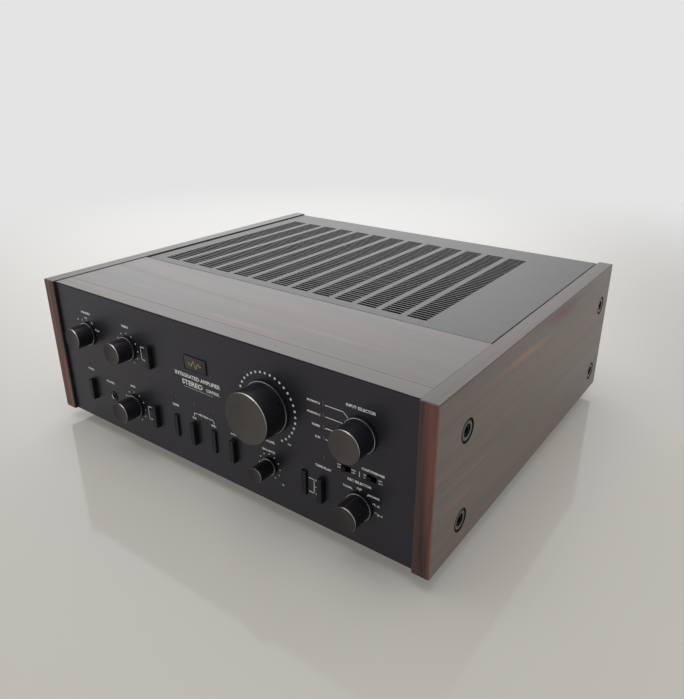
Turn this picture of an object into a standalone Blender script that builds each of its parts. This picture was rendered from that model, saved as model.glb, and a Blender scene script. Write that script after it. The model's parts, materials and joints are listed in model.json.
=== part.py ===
"""Integrated amplifier: black front panel with turned knobs and tall push buttons, veneered cheeks bolted on
from outside, a wood strip along the front of the top, and a vented metal cover over a steel chassis.

Frame: +X to the right as seen from the front, +Y to the back, +Z up. The origin is on the surface that the
feet stand on, under the middle of the whole object. Lengths are in metres.
"""

import math
from collections import namedtuple

import bmesh
import bpy
from mathutils import Matrix, Vector

MM = 0.001

# ---------------------------------------------------------------- driving dimensions
OVERALL_WIDTH = 460 * MM
OVERALL_DEPTH = 437 * MM
OVERALL_HEIGHT = 160 * MM
CHEEK_HEIGHT = 147 * MM
CHEEK_DEPTH = 403 * MM
CHEEK_THICKNESS = 15.5 * MM
CHEEK_EDGE_RADIUS = 1.0 * MM
VOLUME_REACH = 22 * MM  # how far the volume knob stands ahead of the cheeks
GAP = 0.3 * MM  # between pieces that touch

CHEEK_BOTTOM = OVERALL_HEIGHT - CHEEK_HEIGHT
CHEEK_FRONT = VOLUME_REACH - OVERALL_DEPTH / 2
INNER_HALF = OVERALL_WIDTH / 2 - CHEEK_THICKNESS - GAP  # half the width between the cheeks

# Depths run back from the cheeks' front faces, heights run up from the cheeks' bottom faces.
PANEL_FACE = 3 * MM
PANEL_BACK = 8 * MM
PANEL_BOTTOM = 0.5 * MM
PANEL_TOP = 145.2 * MM
TRIM_TOP = 146.8 * MM
TRIM_UNDERSIDE = 138 * MM
TRIM_BACK = 116.5 * MM
TRIM_GROOVE = 21 * MM
TRIM_GROOVE_SIZE = 0.5 * MM
COVER_FRONT = 117.3 * MM
COVER_BACK = 399.8 * MM
COVER_TOP = 146.3 * MM
COVER_LIP_BOTTOM = 137 * MM
COVER_HALF = 213 * MM
SHEET = 1.2 * MM
CHASSIS_SHEET = 1.5 * MM
CHASSIS_BOTTOM = 2.0 * MM
CHASSIS_TOP = COVER_LIP_BOTTOM - GAP
SUBCHASSIS_FRONT = 14 * MM
SUBCHASSIS_BACK = SUBCHASSIS_FRONT + CHASSIS_SHEET
REAR_PANEL_BACK = COVER_BACK
REAR_PANEL_FRONT = REAR_PANEL_BACK - CHASSIS_SHEET
FLANGE_FRONT = REAR_PANEL_BACK + GAP
REAR_TIP = OVERALL_DEPTH - VOLUME_REACH

# Vents of the top cover: one window for each column of slots.
VENT_COLUMNS = 13
VENT_PITCH = 26.85 * MM
VENT_WIDTH = 20.5 * MM
VENT_LEFT = -196.5 * MM
VENT_FRONT = 131 * MM
VENT_BACK = 358.5 * MM

# Cheek bolts and their dished washers.
BOLT_DEPTHS = {"front": 47 * MM, "rear": 376 * MM}
BOLT_HEIGHTS = {"lower": 25.5 * MM, "upper": 105.7 * MM}
COUNTERBORE_RADIUS = 10.1 * MM
WASHER_RADIUS = 9.6 * MM
WASHER_SIDES = 20
COUNTERBORE_DEPTH = 3.2 * MM
BOLT_CLEARANCE_RADIUS = 2.7 * MM
BOLT_RADIUS = 2 * MM
BOLT_HEAD_RADIUS = 4.6 * MM
BOLT_LENGTH = 22 * MM

# Feet.
FOOT_RADIUS = 24 * MM
FOOT_HEIGHT = CHEEK_BOTTOM + PANEL_BOTTOM - GAP
FOOT_ACROSS = 170 * MM
FOOT_DEPTHS = {"front": 62 * MM, "rear": 340 * MM}

# Controls. "across" runs to the right from the panel's middle, "up" from the cheeks' bottom faces.
UPPER_ROW = 100 * MM
LOWER_ROW = 37.3 * MM
SELECTOR_COLUMN = 165.3 * MM
VOLUME_COLUMN = 72.5 * MM
TONE_COLUMN = -106.1 * MM
BUTTON_PITCH = 25 * MM
FIRST_OF_FOUR = -43.5 * MM

Knob = namedtuple("Knob", "name across up radius reach sides")
KNOBS = (
    Knob("speakers_knob", -168.5 * MM, UPPER_ROW, 11 * MM, 19 * MM, 32),
    Knob("treble_knob", TONE_COLUMN, UPPER_ROW, 11 * MM, 19 * MM, 32),
    Knob("bass_knob", TONE_COLUMN, LOWER_ROW, 11 * MM, 19 * MM, 32),
    Knob("volume_knob", VOLUME_COLUMN, 94 * MM, 22.6 * MM, VOLUME_REACH + PANEL_FACE, 48),
    Knob("balance_knob", VOLUME_COLUMN, LOWER_ROW, 7 * MM, 18.5 * MM, 28),
    Knob("input_selector_knob", SELECTOR_COLUMN, UPPER_ROW + 0.6 * MM, 14 * MM, 21 * MM, 36),
    Knob("record_selector_knob", SELECTOR_COLUMN, LOWER_ROW, 11 * MM, 21 * MM, 32),
)
KNOB_CHAMFER = 0.8 * MM
KNOB_FLANGE_STEP = 1.3 * MM
KNOB_FLANGE_THICKNESS = 1.6 * MM
KNOB_STANDOFF = 0.8 * MM
SHAFT_RADIUS = 3 * MM
SHAFT_END = 27 * MM
SHAFT_HOLE_RADIUS = 4.4 * MM
SOCKET_RADIUS = 3.6 * MM
HIDDEN_SIDES = 10  # sides of round shapes that are hidden behind a knob or inside

Button = namedtuple("Button", "name across up latched")
BUTTONS = (
    Button("power_button", -172.7 * MM, LOWER_ROW, False),
    Button("bass_turnover_button", -72 * MM, LOWER_ROW, False),
    Button("treble_turnover_button", -72 * MM, UPPER_ROW, False),
    Button("tone_button", FIRST_OF_FOUR, LOWER_ROW, True),
    Button("subsonic_button", FIRST_OF_FOUR + BUTTON_PITCH, LOWER_ROW, False),
    Button("high_filter_button", FIRST_OF_FOUR + 2 * BUTTON_PITCH, LOWER_ROW, True),
    Button("muting_button", FIRST_OF_FOUR + 3 * BUTTON_PITCH, LOWER_ROW, False),
    Button("tape_play_button_left", 111 * MM, LOWER_ROW, True),
    Button("tape_play_button_right", 129 * MM, LOWER_ROW, False),
)
BUTTON_WIDTH = 5 * MM
BUTTON_HEIGHT = 22.5 * MM
BUTTON_REACH_OUT = 4.8 * MM
BUTTON_TRAVEL = 2.8 * MM
BUTTON_SLOT_MARGIN = 0.35 * MM
BUTTON_COLLAR = 1.2 * MM
BUTTON_ROD = 3.4 * MM
BUTTON_ROD_END = 22 * MM  # when the button is out
ROD_HOLE = 4.6 * MM

Slide = namedtuple("Slide", "name across up")
SLIDES = (
    Slide("cartridge_load_switch", 152.7 * MM, 66.4 * MM),
    Slide("cartridge_type_switch", 176 * MM, 66.4 * MM),
)
SLIDE_TRAVEL = 4 * MM
SLIDE_LEVER_WIDTH = 4 * MM
SLIDE_LEVER_HEIGHT = 4.4 * MM
SLIDE_SLOT_WIDTH = 8.8 * MM
SLIDE_SLOT_HEIGHT = 5.2 * MM
SLIDE_REACH = 2.2 * MM

PHONES_ACROSS = -141 * MM
PHONES_BORE_RADIUS = 3.3 * MM
PHONES_BARREL_RADIUS = 4.4 * MM
PHONES_RING_RADIUS = 5.4 * MM
PHONES_HOLE_RADIUS = PHONES_BARREL_RADIUS + GAP
PHONES_END = 31 * MM
PHONES_SIDES = 20

BADGE_ACROSS = -10.5 * MM
BADGE_UP = 108.7 * MM
BADGE_WIDTH = 28 * MM
BADGE_HEIGHT = 13.8 * MM

# Lamp windows: the power lamp, three over the row of four buttons, the source lamps and the tape lamp.
LAMP_WIDTH = 1.8 * MM
LAMP_HEIGHT = 5.2 * MM
LAMP_ROW = 66.8 * MM
SOURCE_LAMP_COLUMN = 130.6 * MM
SOURCE_LAMP_TOP = 115 * MM
SOURCE_LAMP_PITCH = 10 * MM
LAMPS = [(across, LAMP_ROW) for across in (
    -174.5 * MM,
    FIRST_OF_FOUR,
    FIRST_OF_FOUR + BUTTON_PITCH,
    FIRST_OF_FOUR + 2 * BUTTON_PITCH,
    SOURCE_LAMP_COLUMN,
)] + [(SOURCE_LAMP_COLUMN, SOURCE_LAMP_TOP - i * SOURCE_LAMP_PITCH) for i in range(4)]

# Rear connections.
Opening = namedtuple("Opening", "left right bottom top")
JACKS_OPENING = Opening(78 * MM, 192 * MM, 62 * MM, 118 * MM)
SPEAKERS_OPENING = Opening(-64 * MM, 44 * MM, 56 * MM, 100 * MM)
OUTLETS_OPENING = Opening(-188 * MM, -100 * MM, 70 * MM, 112 * MM)
FLANGE_MARGIN = 4 * MM
GLAND_ACROSS = -176 * MM
GLAND_UP = 30 * MM
GLAND_NECK_RADIUS = 6.5 * MM
GLAND_BORE_RADIUS = 3.8 * MM
POST_SIDES = 10
JACK_TIP = 411 * MM
JACK_RADIUS = 4.2 * MM

# The upright control board behind the front panel.
CONTROL_BOARD_FRONT = 36 * MM
BOARD_THICKNESS = 1.6 * MM

# The amplifier board on the bottom plate, with its relays and upright boards.
BOARD_LEFT, BOARD_RIGHT = 60 * MM, 204 * MM
BOARD_FRONT, BOARD_BACK = 60 * MM, 380 * MM
BOARD_UNDERSIDE = 12 * MM
LEG_SIZE, LEG_INSET = 6 * MM, 4 * MM
UPRIGHTS = 7
FIRST_UPRIGHT, UPRIGHT_PITCH = 90 * MM, 38 * MM
UPRIGHT_LEFT, UPRIGHT_RIGHT, UPRIGHT_TOP = 120 * MM, 190 * MM, 70 * MM
RELAY_LEFT, RELAY_WIDTH, RELAY_DEPTH, RELAY_TOP = 80 * MM, 24 * MM, 16 * MM, 38 * MM


def place(across, depth, up):
    """A point in the object's frame: its place across, behind the cheeks' fronts and above their bottoms."""
    return Vector((across, CHEEK_FRONT + depth, CHEEK_BOTTOM + up))


# ---------------------------------------------------------------- materials
def material(name, colour, roughness, metallic=0.0):
    """A Principled material, made once for each name."""
    if name in bpy.data.materials:
        return bpy.data.materials[name]
    made = bpy.data.materials.new(name)
    made.use_nodes = True
    shader = made.node_tree.nodes["Principled BSDF"]
    shader.inputs["Base Color"].default_value = (*colour, 1.0)
    shader.inputs["Roughness"].default_value = roughness
    shader.inputs["Metallic"].default_value = metallic
    made.diffuse_color = (*colour, 1.0)
    return made


def rosewood():
    return material("rosewood", (0.085, 0.038, 0.030), 0.42)


def cover_paint():
    return material("cover_paint", (0.055, 0.053, 0.055), 0.45)


def panel_black():
    return material("panel_black", (0.020, 0.020, 0.023), 0.38, 0.6)


def knob_black():
    return material("knob_black", (0.012, 0.012, 0.014), 0.35, 0.7)


def button_black():
    return material("button_black", (0.012, 0.012, 0.014), 0.4)


def bolt_steel():
    return material("bolt_black_steel", (0.02, 0.02, 0.022), 0.35, 0.9)


def washer_steel():
    return material("washer_black_steel", (0.05, 0.05, 0.052), 0.3, 0.9)


def chassis_steel():
    return material("chassis_steel", (0.35, 0.34, 0.31), 0.4, 1.0)


def rear_paint():
    return material("rear_paint", (0.025, 0.025, 0.027), 0.5)


def foot_plastic():
    return material("foot_plastic", (0.015, 0.015, 0.015), 0.6)


def plated_metal():
    return material("plated_metal", (0.55, 0.54, 0.52), 0.25, 1.0)


def badge_metal():
    return material("badge_metal", (0.045, 0.022, 0.015), 0.35, 0.5)


def terminal_plastic():
    return material("terminal_plastic", (0.02, 0.02, 0.02), 0.45)


def circuit_board():
    return material("circuit_board", (0.18, 0.10, 0.03), 0.6)


def sink_aluminium():
    return material("sink_aluminium", (0.03, 0.03, 0.032), 0.4, 0.8)


def transformer_steel():
    return material("transformer_steel", (0.03, 0.03, 0.03), 0.5, 0.4)


def capacitor_sleeve():
    return material("capacitor_sleeve", (0.02, 0.03, 0.08), 0.4)


# ---------------------------------------------------------------- mesh helpers
def add_box(bm, low, high, chamfer=0.0, segments=1):
    """Adds a box between two corners, with its edges chamfered or rounded."""
    low, high = Vector(low), Vector(high)
    size = high - low
    matrix = Matrix.Translation((low + high) / 2) @ Matrix.Diagonal((*size, 1))
    verts = bmesh.ops.create_cube(bm, size=1, matrix=matrix)["verts"]
    if chamfer:
        edges = list({e for v in verts for e in v.link_edges})
        bmesh.ops.bevel(bm, geom=edges, offset=chamfer, segments=segments, profile=0.5, affect="EDGES")


def add_lathe(bm, profile, sides, centre=(0, 0, 0), closed=False):
    """Adds a body turned about a line along Y, from (radius, y) points. A closed profile makes a ring."""
    centre = Vector(centre)
    rings = []
    for radius, y in profile:
        count = sides if radius > 0 else 1
        turn = 2 * math.pi / sides
        rings.append([
            bm.verts.new(centre + Vector((radius * math.cos(i * turn), y, radius * math.sin(i * turn))))
            for i in range(count)
        ])
    pairs = list(zip(rings, rings[1:]))
    if closed:
        pairs.append((rings[-1], rings[0]))
    faces = []
    for near, far in pairs:
        for i in range(sides):
            j = (i + 1) % sides
            if len(near) == 1:
                corners = [near[0], far[j], far[i]]
            elif len(far) == 1:
                corners = [near[i], near[j], far[0]]
            else:
                corners = [near[i], near[j], far[j], far[i]]
            faces.append(bm.faces.new(corners))
    bmesh.ops.recalc_face_normals(bm, faces=faces)


def add_cylinder(bm, radius, start, end, sides):
    """Adds a round bar along Y between two points that share X and Z."""
    start, end = Vector(start), Vector(end)
    length = end.y - start.y
    add_lathe(bm, [(0, 0), (radius, 0), (radius, length), (0, length)], sides, start)


def add_prism(bm, outline, low, high):
    """Adds a body with an outline of (y, z) points, run from X = low to X = high."""
    near = [bm.verts.new((low, y, z)) for y, z in outline]
    far = [bm.verts.new((high, y, z)) for y, z in outline]
    faces = [bm.faces.new(near), bm.faces.new(far[::-1])]
    for i in range(len(outline)):
        j = (i + 1) % len(outline)
        faces.append(bm.faces.new([near[j], near[i], far[i], far[j]]))
    bmesh.ops.recalc_face_normals(bm, faces=faces)


def mesh_from(name, build):
    """A mesh filled by build(bm), with smooth round faces and sharp corners."""
    bm = bmesh.new()
    build(bm)
    mesh = bpy.data.meshes.new(name)
    bm.to_mesh(mesh)
    bm.free()
    mesh.shade_smooth()
    mesh.set_sharp_from_angle(angle=math.radians(32))
    return mesh


class Assembly:
    """Adds the sub-parts to the scene under one empty."""

    def __init__(self, name):
        self.root = bpy.data.objects.new(name, None)
        bpy.context.scene.collection.objects.link(self.root)

    def add(self, name, mesh, finish, location=(0, 0, 0), rotation=(0, 0, 0)):
        """Adds one sub-part. The mesh may be shared with another."""
        part = bpy.data.objects.new(name, mesh)
        bpy.context.scene.collection.objects.link(part)
        part.parent = self.root
        part.location = location
        part.rotation_euler = rotation
        if not mesh.materials:
            mesh.materials.append(finish)
        return part

    def tool(self, part, suffix, operation, build):
        """Cuts or joins the shapes of build(bm), in the object's frame, into a sub-part."""
        name = f"{part.name}_{suffix}"
        shape = bpy.data.objects.new(name, mesh_from(name, build))
        bpy.context.scene.collection.objects.link(shape)
        shape.parent = self.root
        shape.hide_render = True
        shape.display_type = "WIRE"
        modifier = part.modifiers.new(suffix, "BOOLEAN")
        modifier.operation = operation
        modifier.object = shape
        modifier.solver = "EXACT"

    def cut(self, part, build):
        self.tool(part, "cutter", "DIFFERENCE", build)

    def join(self, part, build):
        self.tool(part, "addition", "UNION", build)


# ---------------------------------------------------------------- case
def cheek(assembly, side, sign):
    """A veneered side panel with four counterbored bolt holes, drilled from outside."""
    outer = sign * OVERALL_WIDTH / 2
    inner = outer - sign * CHEEK_THICKNESS
    low = place(min(outer, inner), 0, 0)
    high = place(max(outer, inner), CHEEK_DEPTH, CHEEK_HEIGHT)
    mesh = mesh_from("side_panel", lambda bm: add_box(bm, low, high, CHEEK_EDGE_RADIUS, 2))
    part = assembly.add(f"side_panel_{side}", mesh, rosewood())

    def holes(bm):
        floor = outer - sign * COUNTERBORE_DEPTH
        for depth in BOLT_DEPTHS.values():
            for up in BOLT_HEIGHTS.values():
                outline = [
                    (0, -1 * MM),
                    (COUNTERBORE_RADIUS, -1 * MM),
                    (COUNTERBORE_RADIUS, COUNTERBORE_DEPTH),
                    (BOLT_CLEARANCE_RADIUS, COUNTERBORE_DEPTH),
                    (BOLT_CLEARANCE_RADIUS, CHEEK_THICKNESS + 1 * MM),
                    (0, CHEEK_THICKNESS + 1 * MM),
                ]
                start = len(bm.verts)
                add_lathe(bm, outline, WASHER_SIDES)
                bm.verts.ensure_lookup_table()
                turn = Matrix.Rotation(sign * math.pi / 2, 4, "Z")
                shift = Matrix.Translation(place(outer, depth, up))
                bmesh.ops.transform(bm, matrix=shift @ turn, verts=bm.verts[start:])

    assembly.cut(part, holes)


def bolts(assembly):
    """Four socket screws in dished washers on each cheek. Their origins lie on the counterbores' floors."""
    washer = [
        (2.5 * MM, -GAP),
        (2.5 * MM, -1.0 * MM),
        (5.4 * MM, -1.0 * MM),
        (6.6 * MM, -2.8 * MM),
        (WASHER_RADIUS, -2.8 * MM),
        (WASHER_RADIUS, -GAP),
    ]
    head_back = -1.3 * MM
    head_front = -2.9 * MM
    bolt = [
        (0, head_front + 1.1 * MM),
        (2.0 * MM, head_front + 1.1 * MM),
        (2.0 * MM, head_front),
        (BOLT_HEAD_RADIUS - 0.4 * MM, head_front),
        (BOLT_HEAD_RADIUS, head_front + 0.4 * MM),
        (BOLT_HEAD_RADIUS, head_back),
        (BOLT_RADIUS, head_back),
        (BOLT_RADIUS, BOLT_LENGTH),
        (0, BOLT_LENGTH),
    ]
    washer_mesh = mesh_from("side_washer", lambda bm: add_lathe(bm, washer, WASHER_SIDES, closed=True))
    bolt_mesh = mesh_from("side_bolt", lambda bm: add_lathe(bm, bolt, 12))
    for side, sign in (("left", -1), ("right", 1)):
        floor = sign * (OVERALL_WIDTH / 2 - COUNTERBORE_DEPTH)
        turn = (0, 0, sign * math.pi / 2)
        for row, up in BOLT_HEIGHTS.items():
            for end, depth in BOLT_DEPTHS.items():
                where = place(floor, depth, up)
                label = f"{side}_{end}_{row}"
                assembly.add(f"side_washer_{label}", washer_mesh, washer_steel(), where, turn)
                assembly.add(f"side_bolt_{label}", bolt_mesh, bolt_steel(), where, turn)


def top_trim(assembly):
    """The veneered board across the front of the top. Its front lip covers the panel's top edge."""
    groove = [
        (TRIM_GROOVE - TRIM_GROOVE_SIZE, TRIM_TOP),
        (TRIM_GROOVE, TRIM_TOP - TRIM_GROOVE_SIZE),
        (TRIM_GROOVE + TRIM_GROOVE_SIZE, TRIM_TOP),
    ]
    outline = [
        (PANEL_FACE, PANEL_TOP + GAP),
        (PANEL_FACE, TRIM_TOP),
        *groove,
        (TRIM_BACK, TRIM_TOP),
        (TRIM_BACK, TRIM_UNDERSIDE),
        (PANEL_BACK + GAP, TRIM_UNDERSIDE),
        (PANEL_BACK + GAP, PANEL_TOP + GAP),
    ]
    points = [place(0, depth, up).yz for depth, up in outline]
    mesh = mesh_from("top_trim_wood", lambda bm: add_prism(bm, points, -INNER_HALF, INNER_HALF))
    assembly.add("top_trim_wood", mesh, rosewood())


def top_cover(assembly):
    """A shallow folded tray with one window for each column of vent slots."""
    low = place(-COVER_HALF, COVER_FRONT, COVER_LIP_BOTTOM)
    high = place(COVER_HALF, COVER_BACK, COVER_TOP)
    mesh = mesh_from("top_cover", lambda bm: add_box(bm, low, high, 0.6 * MM))
    part = assembly.add("top_cover", mesh, cover_paint())

    def openings(bm):
        inside_low = place(-COVER_HALF + SHEET, COVER_FRONT + SHEET, COVER_LIP_BOTTOM - 1 * MM)
        inside_high = place(COVER_HALF - SHEET, COVER_BACK - SHEET, COVER_TOP - SHEET)
        add_box(bm, inside_low, inside_high)

    def windows(bm):
        for column in range(VENT_COLUMNS):
            left = VENT_LEFT + column * VENT_PITCH
            near = place(left, VENT_FRONT, COVER_TOP - 3 * SHEET)
            far = place(left + VENT_WIDTH, VENT_BACK, COVER_TOP + SHEET)
            add_box(bm, near, far)

    assembly.cut(part, openings)
    assembly.tool(part, "vents", "DIFFERENCE", windows)


def front_panel(assembly):
    """The thick black panel, open for every control and lamp."""
    low = place(-INNER_HALF, PANEL_FACE, PANEL_BOTTOM)
    high = place(INNER_HALF, PANEL_BACK, PANEL_TOP)
    mesh = mesh_from("front_panel", lambda bm: add_box(bm, low, high, 0.4 * MM))
    part = assembly.add("front_panel", mesh, panel_black())
    front, back = PANEL_FACE - 1 * MM, PANEL_BACK + 1 * MM

    def slot(bm, across, up, width, height):
        near = place(across - width / 2, front, up - height / 2)
        far = place(across + width / 2, back, up + height / 2)
        add_box(bm, near, far)

    def holes(bm):
        for knob in KNOBS:
            add_cylinder(bm, SHAFT_HOLE_RADIUS, place(knob.across, front, knob.up),
                         place(knob.across, back, knob.up), HIDDEN_SIDES)
        for button in BUTTONS:
            slot(bm, button.across, button.up, BUTTON_WIDTH + 2 * BUTTON_SLOT_MARGIN,
                 BUTTON_HEIGHT + 2 * BUTTON_SLOT_MARGIN)
        for slide in SLIDES:
            slot(bm, slide.across, slide.up, SLIDE_SLOT_WIDTH, SLIDE_SLOT_HEIGHT)
        for across, up in LAMPS:
            slot(bm, across, up, LAMP_WIDTH, LAMP_HEIGHT)
        add_cylinder(bm, PHONES_HOLE_RADIUS, place(PHONES_ACROSS, front, LOWER_ROW),
                     place(PHONES_ACROSS, back, LOWER_ROW), PHONES_SIDES)

    assembly.cut(part, holes)


def badge_plate(assembly):
    """A small blank name plate on the panel."""
    half = BADGE_WIDTH / 2
    low = place(BADGE_ACROSS - half, PANEL_FACE - GAP - 0.8 * MM, BADGE_UP - BADGE_HEIGHT / 2)
    high = place(BADGE_ACROSS + half, PANEL_FACE - GAP, BADGE_UP + BADGE_HEIGHT / 2)
    mesh = mesh_from("badge_plate", lambda bm: add_box(bm, low, high, 0.2 * MM))
    assembly.add("badge_plate", mesh, badge_metal())


# ---------------------------------------------------------------- chassis
def subchassis(assembly):
    """The steel plate behind the front panel that carries the shafts, rods and jack."""
    low = place(-INNER_HALF, SUBCHASSIS_FRONT, CHASSIS_BOTTOM)
    high = place(INNER_HALF, SUBCHASSIS_BACK, CHASSIS_TOP)
    mesh = mesh_from("front_subchassis", lambda bm: add_box(bm, low, high))
    part = assembly.add("front_subchassis", mesh, chassis_steel())
    front, back = SUBCHASSIS_FRONT - 1 * MM, SUBCHASSIS_BACK + 1 * MM

    def holes(bm):
        for knob in KNOBS:
            add_cylinder(bm, SHAFT_HOLE_RADIUS, place(knob.across, front, knob.up),
                         place(knob.across, back, knob.up), HIDDEN_SIDES)
        for button in BUTTONS:
            near = place(button.across - ROD_HOLE / 2, front, button.up - ROD_HOLE / 2)
            far = place(button.across + ROD_HOLE / 2, back, button.up + ROD_HOLE / 2)
            add_box(bm, near, far)
        add_cylinder(bm, PHONES_HOLE_RADIUS, place(PHONES_ACROSS, front, LOWER_ROW),
                     place(PHONES_ACROSS, back, LOWER_ROW), PHONES_SIDES)

    assembly.cut(part, holes)


def side_frame(assembly, side, sign):
    """A chassis side plate, into which the cheek bolts screw."""
    outer = sign * INNER_HALF
    inner = outer - sign * CHASSIS_SHEET
    low = place(min(outer, inner), SUBCHASSIS_BACK + GAP, CHASSIS_BOTTOM)
    high = place(max(outer, inner), REAR_PANEL_FRONT - GAP, CHASSIS_TOP)
    mesh = mesh_from(f"{side}_frame", lambda bm: add_box(bm, low, high))
    part = assembly.add(f"{side}_frame", mesh, chassis_steel())

    def holes(bm):
        for depth in BOLT_DEPTHS.values():
            for up in BOLT_HEIGHTS.values():
                start = len(bm.verts)
                add_cylinder(bm, BOLT_RADIUS + GAP, (0, -2 * MM, 0), (0, 4 * MM, 0), 12)
                bm.verts.ensure_lookup_table()
                turn = Matrix.Rotation(sign * math.pi / 2, 4, "Z")
                shift = Matrix.Translation(place(outer, depth, up))
                bmesh.ops.transform(bm, matrix=shift @ turn, verts=bm.verts[start:])

    assembly.cut(part, holes)


def bottom_plate(assembly):
    """The steel bottom, with air slots under the transformer and the heat sink."""
    low = place(-INNER_HALF, PANEL_BACK + GAP, PANEL_BOTTOM)
    high = place(INNER_HALF, COVER_BACK, PANEL_BOTTOM + SHEET)
    mesh = mesh_from("bottom_plate", lambda bm: add_box(bm, low, high))
    part = assembly.add("bottom_plate", mesh, chassis_steel())

    def slots(bm):
        for first in (-150 * MM, -20 * MM):
            for i in range(7):
                left = first + i * 10 * MM
                near = place(left, 150 * MM, -1 * MM)
                far = place(left + 4 * MM, 225 * MM, 3 * MM)
                add_box(bm, near, far)

    assembly.cut(part, slots)


def rear_panel(assembly):
    """The painted rear plate, open for the jacks, terminals, outlets and the cord gland."""
    low = place(-INNER_HALF, REAR_PANEL_FRONT, CHASSIS_BOTTOM)
    high = place(INNER_HALF, REAR_PANEL_BACK, CHASSIS_TOP)
    mesh = mesh_from("rear_panel", lambda bm: add_box(bm, low, high))
    part = assembly.add("rear_panel", mesh, rear_paint())
    front, back = REAR_PANEL_FRONT - 1 * MM, REAR_PANEL_BACK + 1 * MM

    def openings(bm):
        for opening in (JACKS_OPENING, SPEAKERS_OPENING, OUTLETS_OPENING):
            near = place(opening.left, front, opening.bottom)
            far = place(opening.right, back, opening.top)
            add_box(bm, near, far)
        add_cylinder(bm, GLAND_NECK_RADIUS + GAP, place(GLAND_ACROSS, front, GLAND_UP),
                     place(GLAND_ACROSS, back, GLAND_UP), 16)

    assembly.cut(part, openings)


def feet(assembly):
    """Four round plastic feet. Each origin is at the middle of the foot's underside."""
    profile = [
        (0, 0),
        (20 * MM, 0),
        (21.5 * MM, 1.5 * MM),
        (FOOT_RADIUS, FOOT_HEIGHT - 2 * MM),
        (FOOT_RADIUS, FOOT_HEIGHT),
        (0, FOOT_HEIGHT),
    ]
    mesh = mesh_from("foot", lambda bm: add_lathe(bm, profile, 24))
    for end, depth in FOOT_DEPTHS.items():
        for side, sign in (("left", -1), ("right", 1)):
            where = place(sign * FOOT_ACROSS, depth, -CHEEK_BOTTOM)
            assembly.add(f"foot_{end}_{side}", mesh, foot_plastic(), where, (math.pi / 2, 0, 0))


# ---------------------------------------------------------------- controls
def knobs(assembly):
    """Turned knobs with their shafts. Each origin is on the shaft's axis, level with the panel's face."""
    for knob in KNOBS:
        front = -knob.reach
        back = -KNOB_STANDOFF
        flange = knob.radius + KNOB_FLANGE_STEP
        profile = [
            (0, front),
            (knob.radius - KNOB_CHAMFER, front),
            (knob.radius, front + KNOB_CHAMFER),
            (knob.radius, back - KNOB_FLANGE_THICKNESS - KNOB_CHAMFER),
            (flange, back - KNOB_FLANGE_THICKNESS),
            (flange, back),
            (SHAFT_RADIUS, back),
            (SHAFT_RADIUS, SHAFT_END - PANEL_FACE),
            (0, SHAFT_END - PANEL_FACE),
        ]
        mesh = mesh_from(knob.name, lambda bm: add_lathe(bm, profile, knob.sides))
        assembly.add(knob.name, mesh, knob_black(), place(knob.across, PANEL_FACE, knob.up))


def buttons(assembly):
    """Tall push buttons, out or latched in. Each slides straight back."""
    for button in BUTTONS:
        reach = BUTTON_REACH_OUT - (BUTTON_TRAVEL if button.latched else 0)
        where = place(button.across, PANEL_FACE, button.up)
        mesh = mesh_from(button.name, lambda bm: button_shape(bm, reach))
        assembly.add(button.name, mesh, button_black(), where)


def button_shape(bm, reach):
    """One closed body: the cap in the panel's slot, a collar behind the panel, and the rod to the switch."""
    shift = BUTTON_REACH_OUT - reach
    collar_front = PANEL_BACK - PANEL_FACE + GAP + shift
    collar_back = collar_front + BUTTON_COLLAR
    rod_end = BUTTON_ROD_END - PANEL_FACE + shift
    chamfer = 0.35 * MM
    edge = 1.2 * MM
    width, height = BUTTON_WIDTH / 2, BUTTON_HEIGHT / 2
    rod = BUTTON_ROD / 2
    # Rectangular sections from the front to the back of the button: (half width, half height, y).
    sections = [
        (width - chamfer, height - chamfer, -reach),
        (width, height, -reach + chamfer),
        (width, height, collar_front),
        (width + edge, height + edge, collar_front),
        (width + edge, height + edge, collar_back),
        (rod, rod, collar_back),
        (rod, rod, rod_end),
    ]
    add_sections(bm, sections)


def add_sections(bm, sections):
    """Adds a body from rectangular sections (half width, half height, y), capped at both ends."""
    rings = [
        [bm.verts.new((x * w, y, z * h)) for x, z in ((-1, -1), (1, -1), (1, 1), (-1, 1))]
        for w, h, y in sections
    ]
    faces = [bm.faces.new(rings[0]), bm.faces.new(rings[-1][::-1])]
    for near, far in zip(rings, rings[1:]):
        for i in range(4):
            j = (i + 1) % 4
            faces.append(bm.faces.new([near[j], near[i], far[i], far[j]]))
    bmesh.ops.recalc_face_normals(bm, faces=faces)


def slide_switches(assembly):
    """Small levers that slide to the right from rest. Each origin is in the middle of its slot."""
    front = -SLIDE_REACH
    collar_front = PANEL_BACK - PANEL_FACE + GAP
    collar_back = collar_front + 1 * MM
    width, height = SLIDE_LEVER_WIDTH / 2, SLIDE_LEVER_HEIGHT / 2
    chamfer = 0.3 * MM
    sections = [
        (width - chamfer, height - chamfer, front),
        (width, height, front + chamfer),
        (width, height, collar_front),
        (width + 3.5 * MM, height + 1.5 * MM, collar_front),
        (width + 3.5 * MM, height + 1.5 * MM, collar_back),
    ]
    mesh = mesh_from("slide_lever", lambda bm: add_sections(bm, sections))
    for slide in SLIDES:
        where = place(slide.across - SLIDE_TRAVEL / 2, PANEL_FACE, slide.up)
        assembly.add(slide.name, mesh, button_black(), where)


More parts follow.
